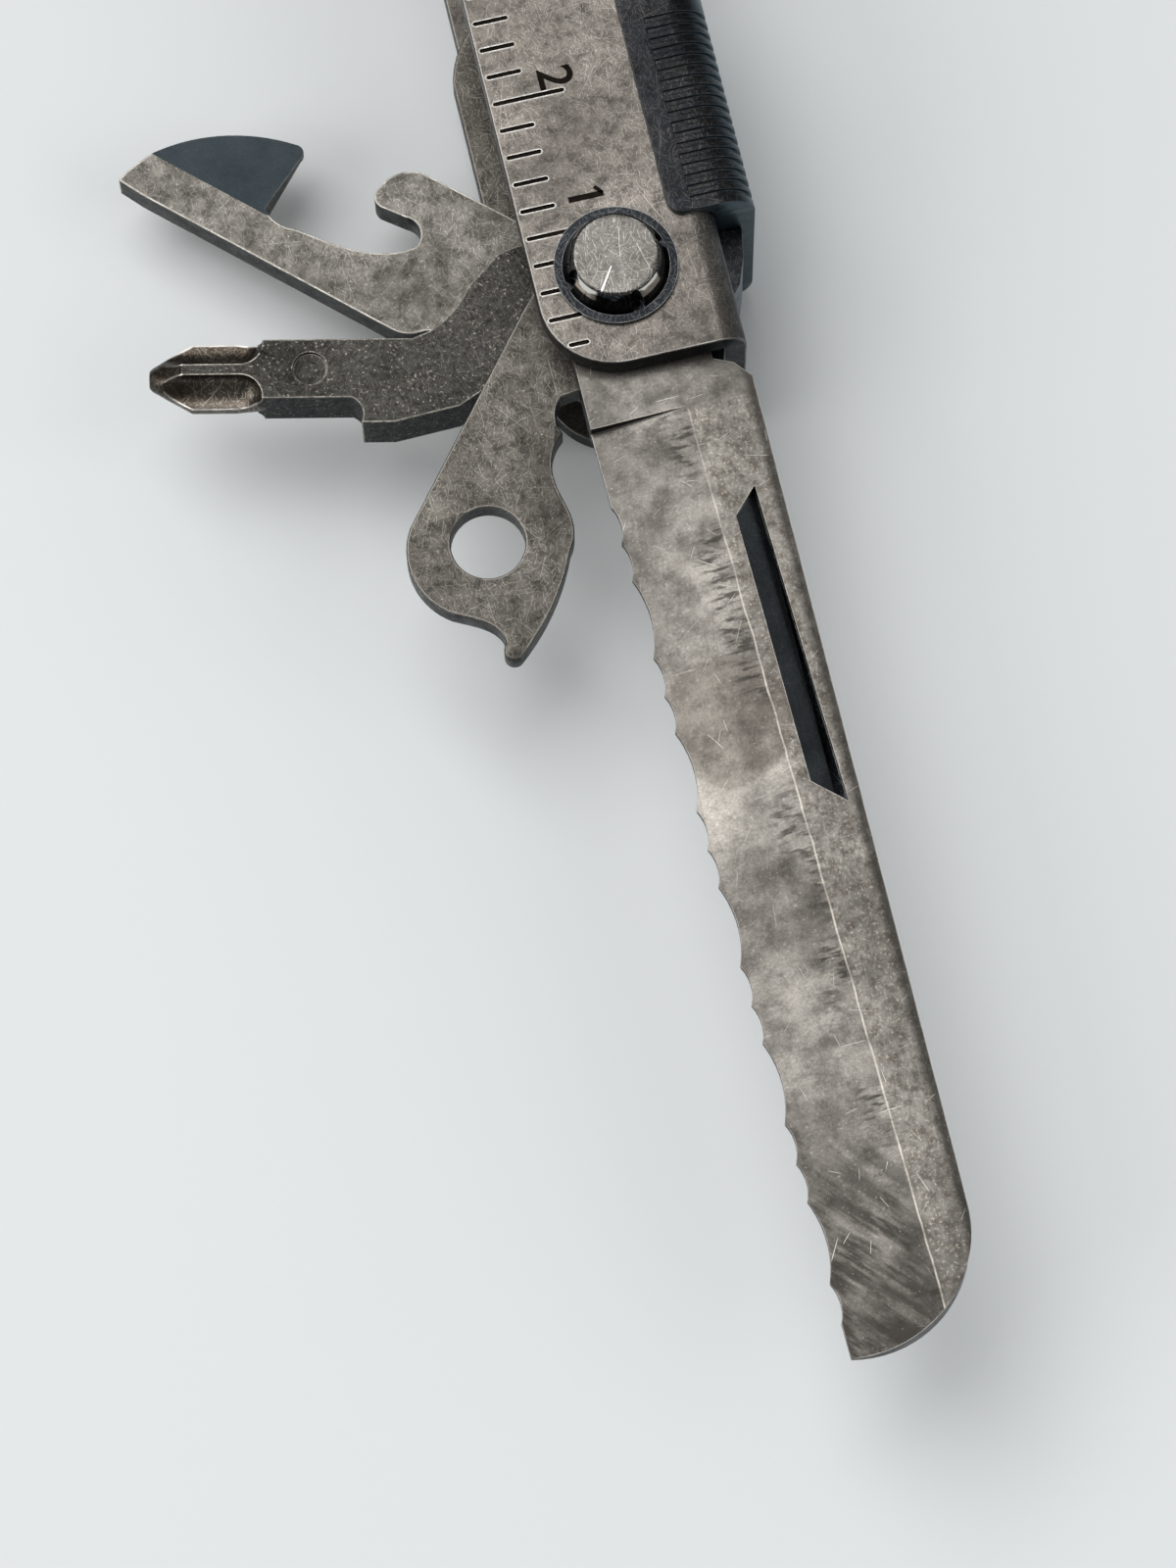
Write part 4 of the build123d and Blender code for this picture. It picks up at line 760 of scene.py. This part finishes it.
def makeFileTeeth(name, look):
    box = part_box("wood_metal_file")
    shape = bmesh.new()
    for pitch, side in look["cuts"]:
        level = (box[1].z if side > 0 else box[0].z) / mm
        for row in range(int((look["end"] - look["start"]) / pitch)):
            ridge = bmesh.ops.create_cube(shape, size=1)["verts"]
            crest = [vert for vert in ridge if vert.co.z * side > 0]
            bmesh.ops.scale(shape, verts=crest, vec=(1, look["crest"], 1))
            place = Matrix.Translation((look["middle"], look["start"] + (row + 0.5) * pitch, level))
            turn = Matrix.Rotation(math.radians(look["turn"] * side), 4, "Z")
            size = Matrix.Diagonal((look["length"] * look["half"], look["foot"] * pitch,
                                    2 * look["height"], 1))
            bmesh.ops.transform(shape, matrix=place @ turn @ size, verts=ridge)
    # trimmed to the sides and then to the ends of the cut
    limits = [((look["middle"] + side * look["half"], 0, 0), (side, 0, 0)) for side in (-1, 1)]
    limits += [((0, look["start"], 0), (0, -1, 0)), ((0, look["end"], 0), (0, 1, 0))]
    for corner, outward in limits:
        cut = bmesh.ops.bisect_plane(
            shape, geom=shape.verts[:] + shape.edges[:] + shape.faces[:], dist=look["merge"],
            plane_co=corner, plane_no=outward, clear_outer=True)["geom_cut"]
        bmesh.ops.holes_fill(shape, edges=[item for item in cut if isinstance(item, bmesh.types.BMEdge)])
    toFrame = Matrix((leftSpine, leftAlong, Vector((0, 0, 1)))).transposed().to_4x4()
    place = Matrix.Translation(leftAxle) @ toFrame @ Matrix.Scale(mm, 4)
    bmesh.ops.transform(shape, matrix=place, verts=shape.verts)
    bmesh.ops.recalc_face_normals(shape, faces=shape.faces)
    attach(addPiece(name, shape, [openerSteel]), frame["nodes"]["wood_metal_file"]["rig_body"])


makeFileTeeth("file_teeth", fileTeeth)
print("file teeth made")

floorLook = {"color": "#e4e6e6", "roughness": 0.7, "size": 3.0}  # m


def makeFloor(look):
    shape = bmesh.new()
    bmesh.ops.create_grid(shape, x_segments=1, y_segments=1, size=look["size"] / 2)
    # Board painted a pale cool grey, with no shine to draw the eye.
    material = bpy.data.materials.new("paintedBoardPale")
    material.use_nodes = True
    shader = material.node_tree.nodes["Principled BSDF"]
    shader.inputs["Base Color"].default_value = sRGB(look["color"])
    shader.inputs["Roughness"].default_value = look["roughness"]
    addPiece("floor", shape, [material])


def makeLight(name, place, size, power, aim=(0, 0, 0)):
    data = bpy.data.lights.new(name, "AREA")
    data.shape = "RECTANGLE"
    data.size, data.size_y = size
    data.energy = power
    light = bpy.data.objects.new(name, data)
    light.location = place
    light.rotation_mode = "QUATERNION"
    light.rotation_quaternion = (Vector(aim) - Vector(place)).to_track_quat("-Z", "Y")
    bpy.context.scene.collection.objects.link(light)


# place and size in m, and watts
lights = {
    "overhead": ((-0.25, 0.35, 1.1), (0.9, 0.9), 8.5),
    "window": ((-0.9, -0.2, 0.6), (0.6, 0.8), 4.5),
    "fill": ((0.8, -0.5, 0.7), (0.8, 0.8), 2.5),
}
room = {"color": "#dfe3e6", "strength": 0.36}

makeFloor(floorLook)
for name, (place, size, power) in lights.items():
    makeLight(name, place, size, power)
world = bpy.data.worlds.new("room")
world.use_nodes = True
background = world.node_tree.nodes["Background"]
background.inputs["Color"].default_value = sRGB(room["color"])
background.inputs["Strength"].default_value = room["strength"]
bpy.context.scene.world = world
bpy.context.scene.view_settings.view_transform = "Standard"
print("floor and light made")
